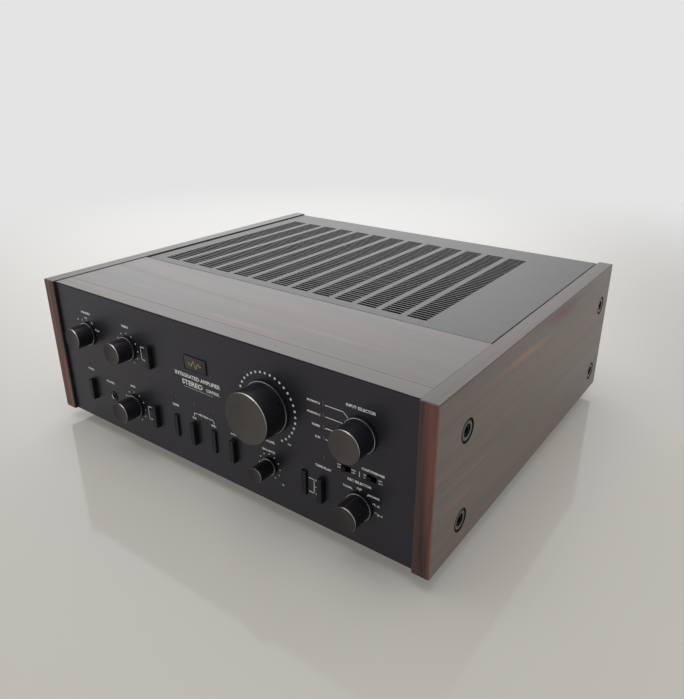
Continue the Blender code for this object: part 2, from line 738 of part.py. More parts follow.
def phones_jack(assembly):
    """A 6.35 mm headphone socket with a plated ring, open at the front."""
    profile = [
        (0, PHONES_END - PANEL_FACE - 1.5 * MM),
        (PHONES_BORE_RADIUS, PHONES_END - PANEL_FACE - 1.5 * MM),
        (PHONES_BORE_RADIUS, -1.0 * MM),
        (PHONES_RING_RADIUS - 0.4 * MM, -1.0 * MM),
        (PHONES_RING_RADIUS, -0.7 * MM),
        (PHONES_RING_RADIUS, -GAP),
        (PHONES_BARREL_RADIUS, -GAP),
        (PHONES_BARREL_RADIUS, PHONES_END - PANEL_FACE),
        (0, PHONES_END - PANEL_FACE),
    ]
    mesh = mesh_from("phones_jack", lambda bm: add_lathe(bm, profile, PHONES_SIDES))
    assembly.add("phones_jack", mesh, plated_metal(), place(PHONES_ACROSS, PANEL_FACE, LOWER_ROW))


def control_board(assembly):
    """The upright circuit board with the potentiometers and switches that the shafts and rods enter."""
    low = place(-200 * MM, CONTROL_BOARD_FRONT, 8 * MM)
    high = place(200 * MM, CONTROL_BOARD_FRONT + BOARD_THICKNESS, 132 * MM)
    mesh = mesh_from("control_board", lambda bm: add_box(bm, low, high))
    part = assembly.add("control_board", mesh, circuit_board())
    body_front = SUBCHASSIS_BACK + GAP
    body_back = CONTROL_BOARD_FRONT + BOARD_THICKNESS / 2

    def bodies(bm):
        for knob in KNOBS:
            radius = 20 * MM if knob.radius > 20 * MM else 11 * MM
            add_cylinder(bm, radius, place(knob.across, body_front, knob.up),
                         place(knob.across, body_back, knob.up), HIDDEN_SIDES)
        for button in BUTTONS:
            near = place(button.across - 4 * MM, body_front, button.up - 7 * MM)
            far = place(button.across + 4 * MM, body_back, button.up + 7 * MM)
            add_box(bm, near, far)

    def sockets(bm):
        for knob in KNOBS:
            add_cylinder(bm, SOCKET_RADIUS, place(knob.across, body_front - 1 * MM, knob.up),
                         place(knob.across, SHAFT_END + 0.5 * MM, knob.up), HIDDEN_SIDES)
        half = ROD_HOLE / 2
        pocket_end = BUTTON_ROD_END + BUTTON_TRAVEL + 1 * MM
        for button in BUTTONS:
            add_box(bm, place(button.across - half, body_front - 1 * MM, button.up - half),
                    place(button.across + half, pocket_end, button.up + half))

    assembly.join(part, bodies)
    assembly.cut(part, sockets)


# ---------------------------------------------------------------- inside
def power_transformer(assembly):
    """A shrouded transformer on a mounting plate."""
    base = CHASSIS_BOTTOM
    mesh = mesh_from("power_transformer", lambda bm: add_box(
        bm, place(-188 * MM, 118 * MM, base), place(-58 * MM, 238 * MM, base + 3 * MM)))
    part = assembly.add("power_transformer", mesh, transformer_steel())

    def core(bm):
        add_box(bm, place(-182 * MM, 134 * MM, base + 1.5 * MM), place(-64 * MM, 222 * MM, 112 * MM), 3 * MM)

    assembly.join(part, core)


def filter_capacitors(assembly):
    """Two tall cans standing behind the transformer. Each origin is at the middle of its base."""
    radius, height = 27 * MM, 96 * MM
    profile = [
        (0, 0),
        (radius, 0),
        (radius, height - 1.5 * MM),
        (radius - 1.5 * MM, height),
        (0, height),
    ]
    mesh = mesh_from("filter_capacitor", lambda bm: add_lathe(bm, profile, 20))
    for side, across in (("left", -156 * MM), ("right", -92 * MM)):
        where = place(across, 305 * MM, CHASSIS_BOTTOM)
        assembly.add(f"filter_capacitor_{side}", mesh, capacitor_sleeve(), where, (math.pi / 2, 0, 0))


def heat_sink(assembly):
    """A finned extrusion standing on the bottom plate; the air rises between its upright fins."""
    spine_left, spine_right, fin_tip = -30 * MM, -22 * MM, 30 * MM
    first, last, fins, thickness = 132 * MM, 346 * MM, 18, 2.4 * MM
    pitch = (last - first - thickness) / (fins - 1)
    outline = [(spine_left, last), (spine_left, first)]
    for i in range(fins):
        front = first + i * pitch
        outline += [(fin_tip, front), (fin_tip, front + thickness)]
        if i < fins - 1:
            outline += [(spine_right, front + thickness), (spine_right, front + pitch)]
    bottom, top = CHASSIS_BOTTOM, 122 * MM

    def build(bm):
        near = [bm.verts.new(place(across, depth, bottom)) for across, depth in outline]
        far = [bm.verts.new(place(across, depth, top)) for across, depth in outline]
        faces = [bm.faces.new(near), bm.faces.new(far[::-1])]
        for i in range(len(outline)):
            j = (i + 1) % len(outline)
            faces.append(bm.faces.new([near[j], near[i], far[i], far[j]]))
        bmesh.ops.recalc_face_normals(bm, faces=faces)

    assembly.add("heat_sink", mesh_from("heat_sink", build), sink_aluminium())


def main_board(assembly):
    """The amplifier board on four legs, with a row of relays and a row of upright boards on it."""
    board_low = place(BOARD_LEFT, BOARD_FRONT, BOARD_UNDERSIDE)
    board_high = place(BOARD_RIGHT, BOARD_BACK, BOARD_UNDERSIDE + BOARD_THICKNESS)
    mesh = mesh_from("main_board", lambda bm: add_box(bm, board_low, board_high))
    part = assembly.add("main_board", mesh, circuit_board())
    middle = BOARD_UNDERSIDE + BOARD_THICKNESS / 2

    def additions(bm):
        for across in (BOARD_LEFT + LEG_INSET, BOARD_RIGHT - LEG_INSET - LEG_SIZE):
            for depth in (BOARD_FRONT + LEG_INSET, BOARD_BACK - LEG_INSET - LEG_SIZE):
                near = place(across, depth, CHASSIS_BOTTOM)
                far = place(across + LEG_SIZE, depth + LEG_SIZE, middle)
                add_box(bm, near, far)
        for i in range(UPRIGHTS):
            depth = FIRST_UPRIGHT + i * UPRIGHT_PITCH
            add_box(bm, place(RELAY_LEFT, depth, middle),
                    place(RELAY_LEFT + RELAY_WIDTH, depth + RELAY_DEPTH, RELAY_TOP))
            add_box(bm, place(UPRIGHT_LEFT, depth, middle),
                    place(UPRIGHT_RIGHT, depth + BOARD_THICKNESS, UPRIGHT_TOP))

    assembly.join(part, additions)


# ---------------------------------------------------------------- rear connections
def flanged_block(assembly, name, opening, block_front, finish):
    """A block through an opening of the rear panel, with a flange against the panel's outside."""
    flange_back = FLANGE_FRONT + 2.2 * MM
    low = place(opening.left - FLANGE_MARGIN, FLANGE_FRONT, opening.bottom - FLANGE_MARGIN)
    high = place(opening.right + FLANGE_MARGIN, flange_back, opening.top + FLANGE_MARGIN)
    mesh = mesh_from(name, lambda bm: add_box(bm, low, high, 0.5 * MM))
    part = assembly.add(name, mesh, finish)

    def block(bm):
        add_box(bm, place(opening.left + GAP, block_front, opening.bottom + GAP),
                place(opening.right - GAP, FLANGE_FRONT + 1 * MM, opening.top - GAP))

    assembly.join(part, block)
    return part, flange_back


def input_jacks(assembly):
    """Eight pairs of phono sockets, the left channel's above the right's."""
    part, back = flanged_block(assembly, "input_jacks", JACKS_OPENING, 388 * MM, terminal_plastic())
    middle = (JACKS_OPENING.bottom + JACKS_OPENING.top) / 2
    pitch = (JACKS_OPENING.right - JACKS_OPENING.left) / 8

    def barrels(bm):
        for column in range(8):
            across = JACKS_OPENING.left + (column + 0.5) * pitch
            for up in (middle - 13 * MM, middle + 13 * MM):
                add_cylinder(bm, JACK_RADIUS, place(across, back - 1 * MM, up),
                             place(across, JACK_TIP, up), POST_SIDES)

    assembly.tool(part, "barrels", "UNION", barrels)


def speaker_terminals(assembly):
    """Two rows of four binding posts."""
    part, back = flanged_block(assembly, "speaker_terminals", SPEAKERS_OPENING, 388 * MM, terminal_plastic())
    middle = (SPEAKERS_OPENING.bottom + SPEAKERS_OPENING.top) / 2
    pitch = (SPEAKERS_OPENING.right - SPEAKERS_OPENING.left) / 4
    length = REAR_TIP - back + 1 * MM
    post = [(0, 0), (6.2 * MM, 0), (6.2 * MM, length - 0.8 * MM), (5.4 * MM, length), (0, length)]

    def posts(bm):
        for column in range(4):
            across = SPEAKERS_OPENING.left + (column + 0.5) * pitch
            for up in (middle - 11 * MM, middle + 11 * MM):
                add_lathe(bm, post, POST_SIDES, place(across, back - 1 * MM, up))

    assembly.tool(part, "posts", "UNION", posts)


def ac_outlets(assembly):
    """Three two-slot mains outlets side by side."""
    part, back = flanged_block(assembly, "ac_outlets", OUTLETS_OPENING, 384 * MM, terminal_plastic())
    middle = (OUTLETS_OPENING.bottom + OUTLETS_OPENING.top) / 2
    pitch = (OUTLETS_OPENING.right - OUTLETS_OPENING.left) / 3

    def slots(bm):
        for column in range(3):
            across = OUTLETS_OPENING.left + (column + 0.5) * pitch
            for side in (-6.3 * MM, 6.3 * MM):
                near = place(across + side - 1.1 * MM, 391 * MM, middle - 3.7 * MM)
                far = place(across + side + 1.1 * MM, back + 1 * MM, middle + 3.7 * MM)
                add_box(bm, near, far)

    assembly.cut(part, slots)


def cord_gland(assembly):
    """The bush that the mains lead comes out of. It is open right through."""
    front = REAR_PANEL_FRONT - 5 * MM
    section = [
        (GLAND_BORE_RADIUS, front),
        (GLAND_BORE_RADIUS, FLANGE_FRONT + 6 * MM),
        (GLAND_BORE_RADIUS + 1.6 * MM, FLANGE_FRONT + 6 * MM),
        (GLAND_NECK_RADIUS + 3 * MM, FLANGE_FRONT + 2 * MM),
        (GLAND_NECK_RADIUS + 3 * MM, FLANGE_FRONT),
        (GLAND_NECK_RADIUS, FLANGE_FRONT),
        (GLAND_NECK_RADIUS, front),
    ]
    mesh = mesh_from("cord_gland", lambda bm: add_lathe(bm, section, 16, closed=True))
    assembly.add("cord_gland", mesh, terminal_plastic(), place(GLAND_ACROSS, 0, GLAND_UP))


def main():
    for item in list(bpy.data.objects):
        bpy.data.objects.remove(item)
    assembly = Assembly("integrated_amplifier")
    for side, sign in (("left", -1), ("right", 1)):
        cheek(assembly, side, sign)
        side_frame(assembly, side, sign)
    bolts(assembly)
    top_trim(assembly)
    top_cover(assembly)
    front_panel(assembly)
    badge_plate(assembly)
    subchassis(assembly)
    bottom_plate(assembly)
    rear_panel(assembly)
    feet(assembly)
    knobs(assembly)
    buttons(assembly)
    slide_switches(assembly)
    phones_jack(assembly)
    control_board(assembly)
    power_transformer(assembly)
    filter_capacitors(assembly)
    heat_sink(assembly)
    main_board(assembly)
    input_jacks(assembly)
    speaker_terminals(assembly)
    ac_outlets(assembly)
    cord_gland(assembly)


main()
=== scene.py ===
import json
import math

import bmesh
import bpy
from mathutils import Matrix, Vector


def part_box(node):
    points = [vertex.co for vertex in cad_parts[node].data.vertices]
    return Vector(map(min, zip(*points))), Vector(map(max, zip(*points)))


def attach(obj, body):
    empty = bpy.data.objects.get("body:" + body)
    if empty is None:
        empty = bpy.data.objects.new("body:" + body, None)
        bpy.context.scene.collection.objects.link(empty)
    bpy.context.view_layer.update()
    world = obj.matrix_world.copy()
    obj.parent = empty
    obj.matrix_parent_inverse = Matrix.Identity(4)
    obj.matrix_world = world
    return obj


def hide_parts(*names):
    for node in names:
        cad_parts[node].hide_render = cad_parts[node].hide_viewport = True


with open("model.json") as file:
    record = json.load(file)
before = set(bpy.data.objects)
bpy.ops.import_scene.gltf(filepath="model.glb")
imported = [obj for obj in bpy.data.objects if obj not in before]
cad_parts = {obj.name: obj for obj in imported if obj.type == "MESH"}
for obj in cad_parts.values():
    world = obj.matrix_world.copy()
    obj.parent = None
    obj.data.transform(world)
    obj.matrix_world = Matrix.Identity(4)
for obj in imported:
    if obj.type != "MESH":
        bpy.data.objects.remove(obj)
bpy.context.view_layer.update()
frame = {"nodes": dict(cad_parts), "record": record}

MM = 0.001
ROOT = "root"
BODIES = {node: body for body, nodes in frame["record"]["behaviour"]["bodies"].items() for node in nodes}

# ---- places taken from the frame
PANEL_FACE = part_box("front_panel")[0].y
CHEEK_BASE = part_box("side_panel_left")[0].z
CHEEK_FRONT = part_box("side_panel_left")[0].y
REAR_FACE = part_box("rear_panel")[1].y


def on_panel(across, up, out=0.0):
    """A point ahead of the panel's face: millimetres across, up from the cheeks' bottoms, and out."""
    return Vector((across * MM, PANEL_FACE - out * MM, CHEEK_BASE + up * MM))


def on_rear(across, up, out=0.0):
    """A point behind the rear panel's face, in the same way."""
    return Vector((across * MM, REAR_FACE + out * MM, CHEEK_BASE + up * MM))


def middle_of(node):
    """The middle of a CAD node's box."""
    low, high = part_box(node)
    return (low + high) / 2


def panel_point(node):
    """The point of the panel's face that is in line with a CAD node's middle."""
    middle = middle_of(node)
    return Vector((middle.x, PANEL_FACE, middle.z))


def add_object(name, data):
    """A new object in the scene."""
    made = bpy.data.objects.new(name, data)
    bpy.context.scene.collection.objects.link(made)
    return made


# ---- camera
CAMERA_PLACE = Vector((0.3975, -0.5301, 0.3635))
CAMERA_AIM = Vector((0.0207, 0.0, 0.0887))
CAMERA_ROLL = math.radians(0.25)
CAMERA_LENS = 33.29
CAMERA_SHIFT = (-0.0154, -0.0162)


def add_camera():
    """The camera that was fitted to the photograph."""
    data = bpy.data.cameras.new("camera")
    data.lens = CAMERA_LENS
    data.shift_x, data.shift_y = CAMERA_SHIFT
    data.clip_start = 0.01
    camera = add_object("camera", data)
    look = (CAMERA_AIM - CAMERA_PLACE).to_track_quat("-Z", "Y").to_matrix().to_4x4()
    camera.matrix_world = Matrix.Translation(CAMERA_PLACE) @ look @ Matrix.Rotation(CAMERA_ROLL, 4, "Z")
    bpy.context.scene.camera = camera


# ---- materials
class Nodes:
    """A shader's node tree."""

    def __init__(self, tree, coordinates):
        self.tree = tree
        self.place = self.node("ShaderNodeTexCoord").outputs[coordinates]

    def node(self, kind, inputs=None, **settings):
        """A new node with its settings. Each of its inputs gets a value or a link from a socket."""
        made = self.tree.nodes.new(kind)
        for key, value in settings.items():
            setattr(made, key, value)
        for socket, value in (inputs or {}).items():
            self.feed(made.inputs[socket], value)
        return made

    def feed(self, socket, value):
        """Links an input to another node's socket, or sets its value."""
        if isinstance(value, bpy.types.NodeSocket):
            self.tree.links.new(value, socket)
        else:
            socket.default_value = value

    def math(self, operation, a, b=0.0):
        """The result of one sum."""
        return self.node("ShaderNodeMath", {0: a, 1: b}, operation=operation).outputs[0]

    def span(self, value, low, high, source=(0.3, 0.7), steps="LINEAR"):
        """The value's source range stretched to low..high."""
        made = self.node("ShaderNodeMapRange", {"Value": value, "From Min": source[0], "From Max": source[1],
                                                "To Min": low, "To Max": high}, interpolation_type=steps)
        return made.outputs["Result"]


class Finish(Nodes):
    """A material built round one Principled shader. Its coordinates are the piece's own, in metres."""

    def __init__(self, name, **uniform):
        self.material = bpy.data.materials.new(name)
        self.material.use_nodes = True
        super().__init__(self.material.node_tree, "Object")
        self.shader = self.tree.nodes["Principled BSDF"]
        for socket, value in uniform.items():
            self.drive(socket.replace("_", " "), value)

    def drive(self, socket, value):
        """Feeds one of the shader's own sockets."""
        self.feed(self.shader.inputs[socket], value)

    def noise(self, waves, detail=3.0, roughness=0.5, distortion=0.0, place=None):
        """Noise with its own number of waves per metre along X, Y and Z."""
        mapping = self.node("ShaderNodeMapping", {"Scale": waves, "Vector": place or self.place})
        made = self.node("ShaderNodeTexNoise", {
            "Scale": 1.0, "Detail": detail, "Roughness": roughness, "Distortion": distortion,
            "Vector": mapping.outputs["Vector"]})
        return made.outputs["Fac"]

    def ramp(self, factor, stops):
        """A colour for each value of the factor, from (position, colour) stops."""
        made = self.node("ShaderNodeValToRGB", {"Fac": factor})
        elements = made.color_ramp.elements
        while len(elements) < len(stops):
            elements.new(0.5)
        for element, (position, colour) in zip(elements, stops):
            element.position = position
            element.color = (*colour, 1.0)
        return made.outputs["Color"]

    def mix(self, factor, a, b, blend="MIX"):
        """Mixes two colours, each a socket or a plain colour."""
        made = self.node("ShaderNodeMix", data_type="RGBA", blend_type=blend)
        factor_socket, a_socket, b_socket = [socket for socket in made.inputs if socket.enabled]
        self.feed(factor_socket, factor)
        for socket, value in ((a_socket, a), (b_socket, b)):
            self.feed(socket, value if isinstance(value, bpy.types.NodeSocket) else (*value, 1.0))
        return next(socket for socket in made.outputs if socket.enabled)

    def mottle(self, waves, detail, dark, light):
        """Broad soft variation of the colour between two tones."""
        self.drive("Base Color", self.ramp(self.noise((waves,) * 3, detail), [(0.35, dark), (0.65, light)]))

    def bump(self, height, strength, distance=0.2 * MM):
        """A fine relief."""
        made = self.node("ShaderNodeBump", {"Strength": strength, "Distance": distance, "Height": height})
        self.drive("Normal", made.outputs["Normal"])

    def spot(self, centre, half_size, lean=0.0):
        """A soft spot that is 1 at its centre: an ellipsoid of the given half size, turned about X."""
        mapping = self.node("ShaderNodeMapping", {"Location": centre, "Rotation": (lean, 0, 0),
                                                  "Scale": half_size, "Vector": self.place},
                            vector_type="TEXTURE")
        made = self.node("ShaderNodeTexGradient", {"Vector": mapping.outputs["Vector"]},
                         gradient_type="SPHERICAL")
        return made.outputs["Fac"]

    def size_along(self, vector, axis):
        """The size of a vector along X, Y or Z."""
        split = self.node("ShaderNodeSeparateXYZ", {0: vector})
        return self.math("ABSOLUTE", split.outputs[axis])

    def from_middle(self):
        """The distance from the object's middle plane."""
        return self.size_along(self.place, "X")

    def facing(self, axis):
        """How squarely the surface faces along X, Y or Z, from 0 to 1."""
        return self.size_along(self.node("ShaderNodeNewGeometry").outputs["Normal"], axis)


def speckled(name, dark, light, roughness, waves, bump=0.05, **uniform):
    """A moulded, painted or anodised finish: faint colour and gloss variation and a fine skin."""
    made = Finish(name, **uniform)
    made.mottle(45, 4, dark, light)
    made.drive("Roughness", made.span(made.noise((160, 160, 160), detail=4), *roughness))
    made.bump(made.noise((waves,) * 3, detail=2), bump)
    return made.material


def turned_metal(name, dark, light, roughness, lines, bump, **uniform):
    """Metal cut on a lathe: fine rings round the piece's own Y axis, on its sides and its ends."""
    made = Finish(name, **uniform)
    rings = made.node("ShaderNodeTexWave", {"Scale": lines / 6, "Distortion": 1.5, "Vector": made.place},
                      wave_type="RINGS", rings_direction="Y")
    across = made.noise((0, lines, 0), detail=3)
    cut = made.math("MULTIPLY", rings.outputs["Fac"], across)
    made.mottle(70, 3, dark, light)
    made.drive("Roughness", made.span(across, *roughness))
    made.bump(cut, bump, 0.05 * MM)
    return made.material


def brushed(name, dark, light, roughness, waves, bump, **uniform):
    """Sheet or plate with a grain: waves is the number of scratches per metre along each axis."""
    made = Finish(name, **uniform)
    scratches = made.noise(waves, detail=5, roughness=0.7)
    blotches = made.noise((14, 14, 14), detail=4)
    tone = made.mix(0.45, made.ramp(scratches, [(0.3, dark), (0.7, light)]),
                    made.ramp(blotches, [(0.3, dark), (0.7, light)]))
    made.drive("Base Color", tone)
    made.drive("Roughness", made.span(scratches, *roughness))
    made.bump(scratches, bump, 0.08 * MM)
    return made.material


def wood(name, along, palette, roughness, contrast=0.6, painted_top_shade=None, tilt=0.0, blotch=1.5, bands=44,
         corners=(), figures=(), **uniform):
    """Straight-grained rosewood veneer under satin lacquer, its grain along one axis. A palette holds the
    olive, middle, warm and dark tones. The corners between faces along two axes can show a line of another
    colour along their rounded edges beyond some distance from the middle plane, and figures are single
    soft patches of another colour. A top shade can darken the faces that look up: it is painted shade, for
    how the light falls on a top."""
    made = Finish(name, **uniform)
    turn = (tilt if along == "Y" else 0, 0, tilt if along == "X" else 0)
    place = made.node("ShaderNodeMapping", {"Rotation": turn, "Vector": made.place}).outputs["Vector"]

    def waves(lengthwise, crosswise):
        return tuple(lengthwise if axis == along else crosswise for axis in "XYZ")

    olive, middle, warm, dark = palette
    ground = made.ramp(made.noise(waves(blotch, bands), detail=3, distortion=0.3, place=place),
                       [(0.36, olive), (0.46, middle), (0.55, warm), (0.64, middle)])
    streaks = made.noise(waves(3.0, 170), detail=4, roughness=0.6, distortion=0.15, place=place)
    veins = made.ramp(streaks, [(0.34, dark), (0.50, (1, 1, 1)), (0.66, (1.0, 0.97, 0.94))])
    tone = made.mix(contrast, ground, veins, "MULTIPLY")
    pores = made.noise(waves(40, 1500), detail=3, roughness=0.7, place=place)
    fleck = made.ramp(pores, [(0.34, (0.55, 0.50, 0.48)), (0.5, (1, 1, 1))])
    tone = made.mix(0.4, tone, fleck, "MULTIPLY")
    for centre, half_size, lean, colour, strength in figures:
        share = made.math("MULTIPLY", made.spot(centre, half_size, lean), strength)
        tone = made.mix(share, tone, colour)
    # Painted shade: the faces that look up are darkened for how the light falls on them.
    if painted_top_shade is not None:
        up = made.math("GREATER_THAN", made.facing("Z"), 0.6)
        tone = made.mix(up, tone, made.mix(1.0, tone, painted_top_shade, "MULTIPLY"))
    for first, second, colour, beyond in corners:
        corner = made.math("MULTIPLY", made.facing(first), made.facing(second))
        outer = made.math("GREATER_THAN", made.from_middle(), beyond)
        share = made.math("MULTIPLY", made.span(corner, 0.0, 0.8, source=(0.12, 0.45)), outer)
        tone = made.mix(share, tone, colour)
    made.drive("Base Color", tone)
    made.drive("Roughness", made.span(streaks, *roughness))
    made.bump(pores, 0.08, 0.08 * MM)
    return made.material


PLASTIC_BLACKS = ((0.0055, 0.0055, 0.006), (0.009, 0.009, 0.010))
COOL_SHEEN = (0.92, 0.90, 1.0, 1.0)
CHEEK_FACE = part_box("side_panel_right")[1].x
BOARD_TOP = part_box("top_trim_wood")[1].z
PATCH_DEPTH = 0.03


# Soft patches of colour seen on the right cheek, its front lipping and the board. Their places and half sizes
# are in millimetres: back from the cheek's front and up from its base, or across and back in the frame.
def cheek_patch(back, up, half_length, half_height, lean, colour, strength):
    place = (CHEEK_FACE, CHEEK_FRONT + back * MM, CHEEK_BASE + up * MM)
    return place, (PATCH_DEPTH, half_length * MM, half_height * MM), lean, colour, strength


def lipping_patch(inward, up, half_width, half_height, colour):
    place = (CHEEK_FACE - inward * MM, CHEEK_FRONT, CHEEK_BASE + up * MM)
    return place, (half_width * MM, PATCH_DEPTH, half_height * MM), 0.0, colour, 1.0


def board_patch(across, back, half_width, half_depth, colour, strength):
    place = (across * MM, back * MM, BOARD_TOP)
    return place, (half_width * MM, half_depth * MM, PATCH_DEPTH), 0.0, colour, strength


CHEEK_FIGURES = [
    cheek_patch(160, 127.5, 70, 5.5, -0.04, (0.33, 0.17, 0.11), 0.9),
    cheek_patch(262, 141, 125, 7, -0.03, (0.070, 0.056, 0.048), 0.9),
    cheek_patch(244, 137.5, 50, 9, -0.08, (0.135, 0.020, 0.028), 1.0),
    cheek_patch(40, 50, 52, 4.0, -0.05, (0.26, 0.14, 0.11), 0.8),
    cheek_patch(60, 66, 70, 4.5, -0.05, (0.24, 0.145, 0.115), 0.7),
]
LIPPING_FIGURES = [
    lipping_patch(6, 130, 6.5, 115, (0.175, 0.068, 0.055)),
    lipping_patch(15, 73, 6.5, 250, (0.045, 0.034, 0.032)),
]
BOARD_FIGURES = [
    board_patch(24, -164.6, 60, 5, (0.150, 0.080, 0.066), 0.9),
    board_patch(100, -143, 70, 4, (0.120, 0.095, 0.088), 0.8),
    board_patch(-60, -128, 110, 7, (0.060, 0.044, 0.039), 0.7),
    board_patch(40, -110, 120, 8, (0.092, 0.066, 0.058), 0.7),
    board_patch(-130, -150, 80, 5, (0.100, 0.070, 0.062), 0.6),
]
# The darker tone on the cheeks' tops is painted shade for how the light falls on them; a dark line runs along
# the rounded edges between their tops and sides.
CHEEK_WOOD = wood(
    "cheek_rosewood", "Y",
    palette=((0.134, 0.123, 0.105), (0.148, 0.125, 0.108), (0.178, 0.128, 0.106), (0.62, 0.58, 0.55)),
    roughness=(0.32, 0.40), painted_top_shade=(0.44, 0.43, 0.44), tilt=0.035, contrast=0.55, figures=CHEEK_FIGURES,
    corners=[("X", "Z", (0.045, 0.034, 0.030), 0.0)], Specular_IOR_Level=0.43)
# The lipping's tan line along its outer rounded corner is partly the cut veneer's lighter edge and partly a
# painted highlight where the rounded corner catches the light.
LIPPING = wood(
    "cheek_lipping", "Z",
    palette=((0.050, 0.034, 0.029), (0.135, 0.054, 0.043), (0.250, 0.086, 0.062), (0.40, 0.32, 0.31)),
    roughness=(0.32, 0.42), blotch=7, bands=150, contrast=0.8, figures=LIPPING_FIGURES,
    corners=[("X", "Y", (0.26, 0.155, 0.11), CHEEK_FACE - 5 * MM)], Specular_IOR_Level=0.35)
TRIM_WOOD = wood(
    "trim_rosewood", "X",
    palette=((0.064, 0.060, 0.056), (0.071, 0.062, 0.057), (0.094, 0.066, 0.060), (0.66, 0.61, 0.59)),
    roughness=(0.29, 0.37), contrast=0.7, tilt=0.045, bands=36, figures=BOARD_FIGURES)
# Black that stands in for shade: painted shade on the cheeks' inner faces and counterbore walls, and on the
# cover's underside and slot edges.
PAINTED_SHADE = speckled("painted_shade_black", (0.010, 0.009, 0.009), (0.016, 0.014, 0.013), roughness=(0.5, 0.65),
                 waves=700, bump=0.2)
COVER_PAINT = speckled("cover_satin_paint", (0.036, 0.033, 0.032), (0.039, 0.036, 0.035),
                       roughness=(0.39, 0.41), waves=2600, bump=0.04)
PANEL_BLACK = brushed("panel_anodised", (0.0150, 0.0138, 0.0192), (0.0180, 0.0166, 0.0226),
                      roughness=(0.34, 0.42), waves=(25, 400, 1400), bump=0.05,
                      Specular_IOR_Level=0.45, Specular_Tint=(0.90, 0.86, 1.0, 1.0))
KNOB_FACE = turned_metal("knob_face_anodised", (0.046, 0.041, 0.038), (0.055, 0.048, 0.045),
                         roughness=(0.40, 0.50), lines=3500, bump=0.10, Specular_Tint=(1.0, 0.94, 0.94, 1.0))
SMALL_FACE = turned_metal("small_knob_face_anodised", (0.024, 0.020, 0.021), (0.030, 0.026, 0.027),
                          roughness=(0.40, 0.50), lines=3500, bump=0.10, Specular_IOR_Level=0.32,
                          Specular_Tint=(1.0, 0.94, 0.96, 1.0))
KNOB_SIDE = turned_metal("knob_side_anodised", (0.0072, 0.0068, 0.0092), (0.0105, 0.0100, 0.0130),
                         roughness=(0.30, 0.40), lines=5000, bump=0.12, Specular_IOR_Level=0.30,
                         Specular_Tint=COOL_SHEEN)
KNOB_RIM = turned_metal("knob_cut_rim", (0.33, 0.32, 0.31), (0.41, 0.40, 0.39), roughness=(0.36, 0.44),
                        lines=6000, bump=0.04, Metallic=1.0)
FLANGE_RIM = turned_metal("knob_flange_rim", (0.34, 0.34, 0.34), (0.42, 0.42, 0.42), roughness=(0.30, 0.38),
                          lines=6000, bump=0.04, Metallic=0.9)
BUTTON_BLACK = speckled("button_satin_plastic", *PLASTIC_BLACKS, roughness=(0.30, 0.40), waves=1800,
                        bump=0.04, Specular_IOR_Level=0.32, Specular_Tint=COOL_SHEEN)
WASHER_LAND = turned_metal("washer_land", (0.075, 0.075, 0.070), (0.105, 0.105, 0.098),
                           roughness=(0.30, 0.38), lines=2500, bump=0.10, Metallic=0.7)
BOLT_BLACK = turned_metal("bolt_blackened", (0.005, 0.005, 0.006), (0.009, 0.009, 0.010),
                          roughness=(0.40, 0.50), lines=2000, bump=0.08, Specular_IOR_Level=0.08)
# The plated steel has a dark tone: partly a dull zinc finish, partly painted shade for the chassis inside the
# case, which shows through the vents.
ZINC_AND_SHADE = brushed("dull_zinc_and_painted_shade", (0.17, 0.165, 0.15), (0.24, 0.23, 0.21), roughness=(0.40, 0.55),
               waves=(30, 30, 500), bump=0.06, Metallic=1.0)
REAR_PAINT = speckled("rear_satin_black", (0.016, 0.016, 0.017), (0.024, 0.024, 0.025),
                      roughness=(0.40, 0.52), waves=1500, bump=0.12)
FOOT_PLASTIC = speckled("foot_plastic", *PLASTIC_BLACKS, roughness=(0.45, 0.6), waves=900, bump=0.2)
RUBBER = speckled("foot_rubber", (0.010, 0.010, 0.010), (0.018, 0.018, 0.018), roughness=(0.7, 0.85),
                  waves=700, bump=0.3)
BADGE_ENAMEL = brushed("badge_enamel", (0.027, 0.026, 0.029), (0.036, 0.034, 0.038), roughness=(0.28, 0.38),
                       waves=(40, 40, 900), bump=0.04, Metallic=0.35)
BADGE_BORDER = brushed("badge_border", (0.012, 0.015, 0.021), (0.017, 0.021, 0.028), roughness=(0.3, 0.4),
                       waves=(40, 40, 900), bump=0.04)
GOLD = turned_metal("gold_plate", (0.50, 0.31, 0.14), (0.66, 0.44, 0.22), roughness=(0.25, 0.35),
                    lines=900, bump=0.03, Metallic=1.0)
DARK_CHROME = turned_metal("dark_chrome", (0.02, 0.02, 0.021), (0.035, 0.035, 0.036), roughness=(0.12, 0.2),
                           lines=1800, bump=0.03, Metallic=0.8)
NICKEL = turned_metal("nickel_plate", (0.55, 0.54, 0.51), (0.70, 0.69, 0.66), roughness=(0.14, 0.24),
                      lines=1800, bump=0.05, Metallic=1.0)
BOARD = speckled("phenolic_board", (0.060, 0.034, 0.014), (0.085, 0.050, 0.021), roughness=(0.5, 0.65),
                 waves=500, bump=0.1, Specular_IOR_Level=0.15)
ENAMEL = speckled("transformer_enamel", (0.010, 0.010, 0.010), (0.016, 0.016, 0.015), roughness=(0.5, 0.65),
                  waves=600, bump=0.15, Specular_IOR_Level=0.1)
SLEEVE = speckled("capacitor_sleeve", (0.010, 0.014, 0.034), (0.014, 0.020, 0.050), roughness=(0.35, 0.45),
                  waves=500, bump=0.05, Specular_IOR_Level=0.2)
SINK = brushed("sink_anodised", (0.012, 0.012, 0.013), (0.018, 0.018, 0.019), roughness=(0.40, 0.52),
               waves=(60, 60, 700), bump=0.1, Specular_IOR_Level=0.2)
MOULDING = speckled("black_moulding", *PLASTIC_BLACKS, roughness=(0.26, 0.38), waves=1200, bump=0.08)
RED_PLASTIC = speckled("red_moulding", (0.32, 0.012, 0.010), (0.42, 0.020, 0.016), roughness=(0.3, 0.4),
                       waves=900, bump=0.08)
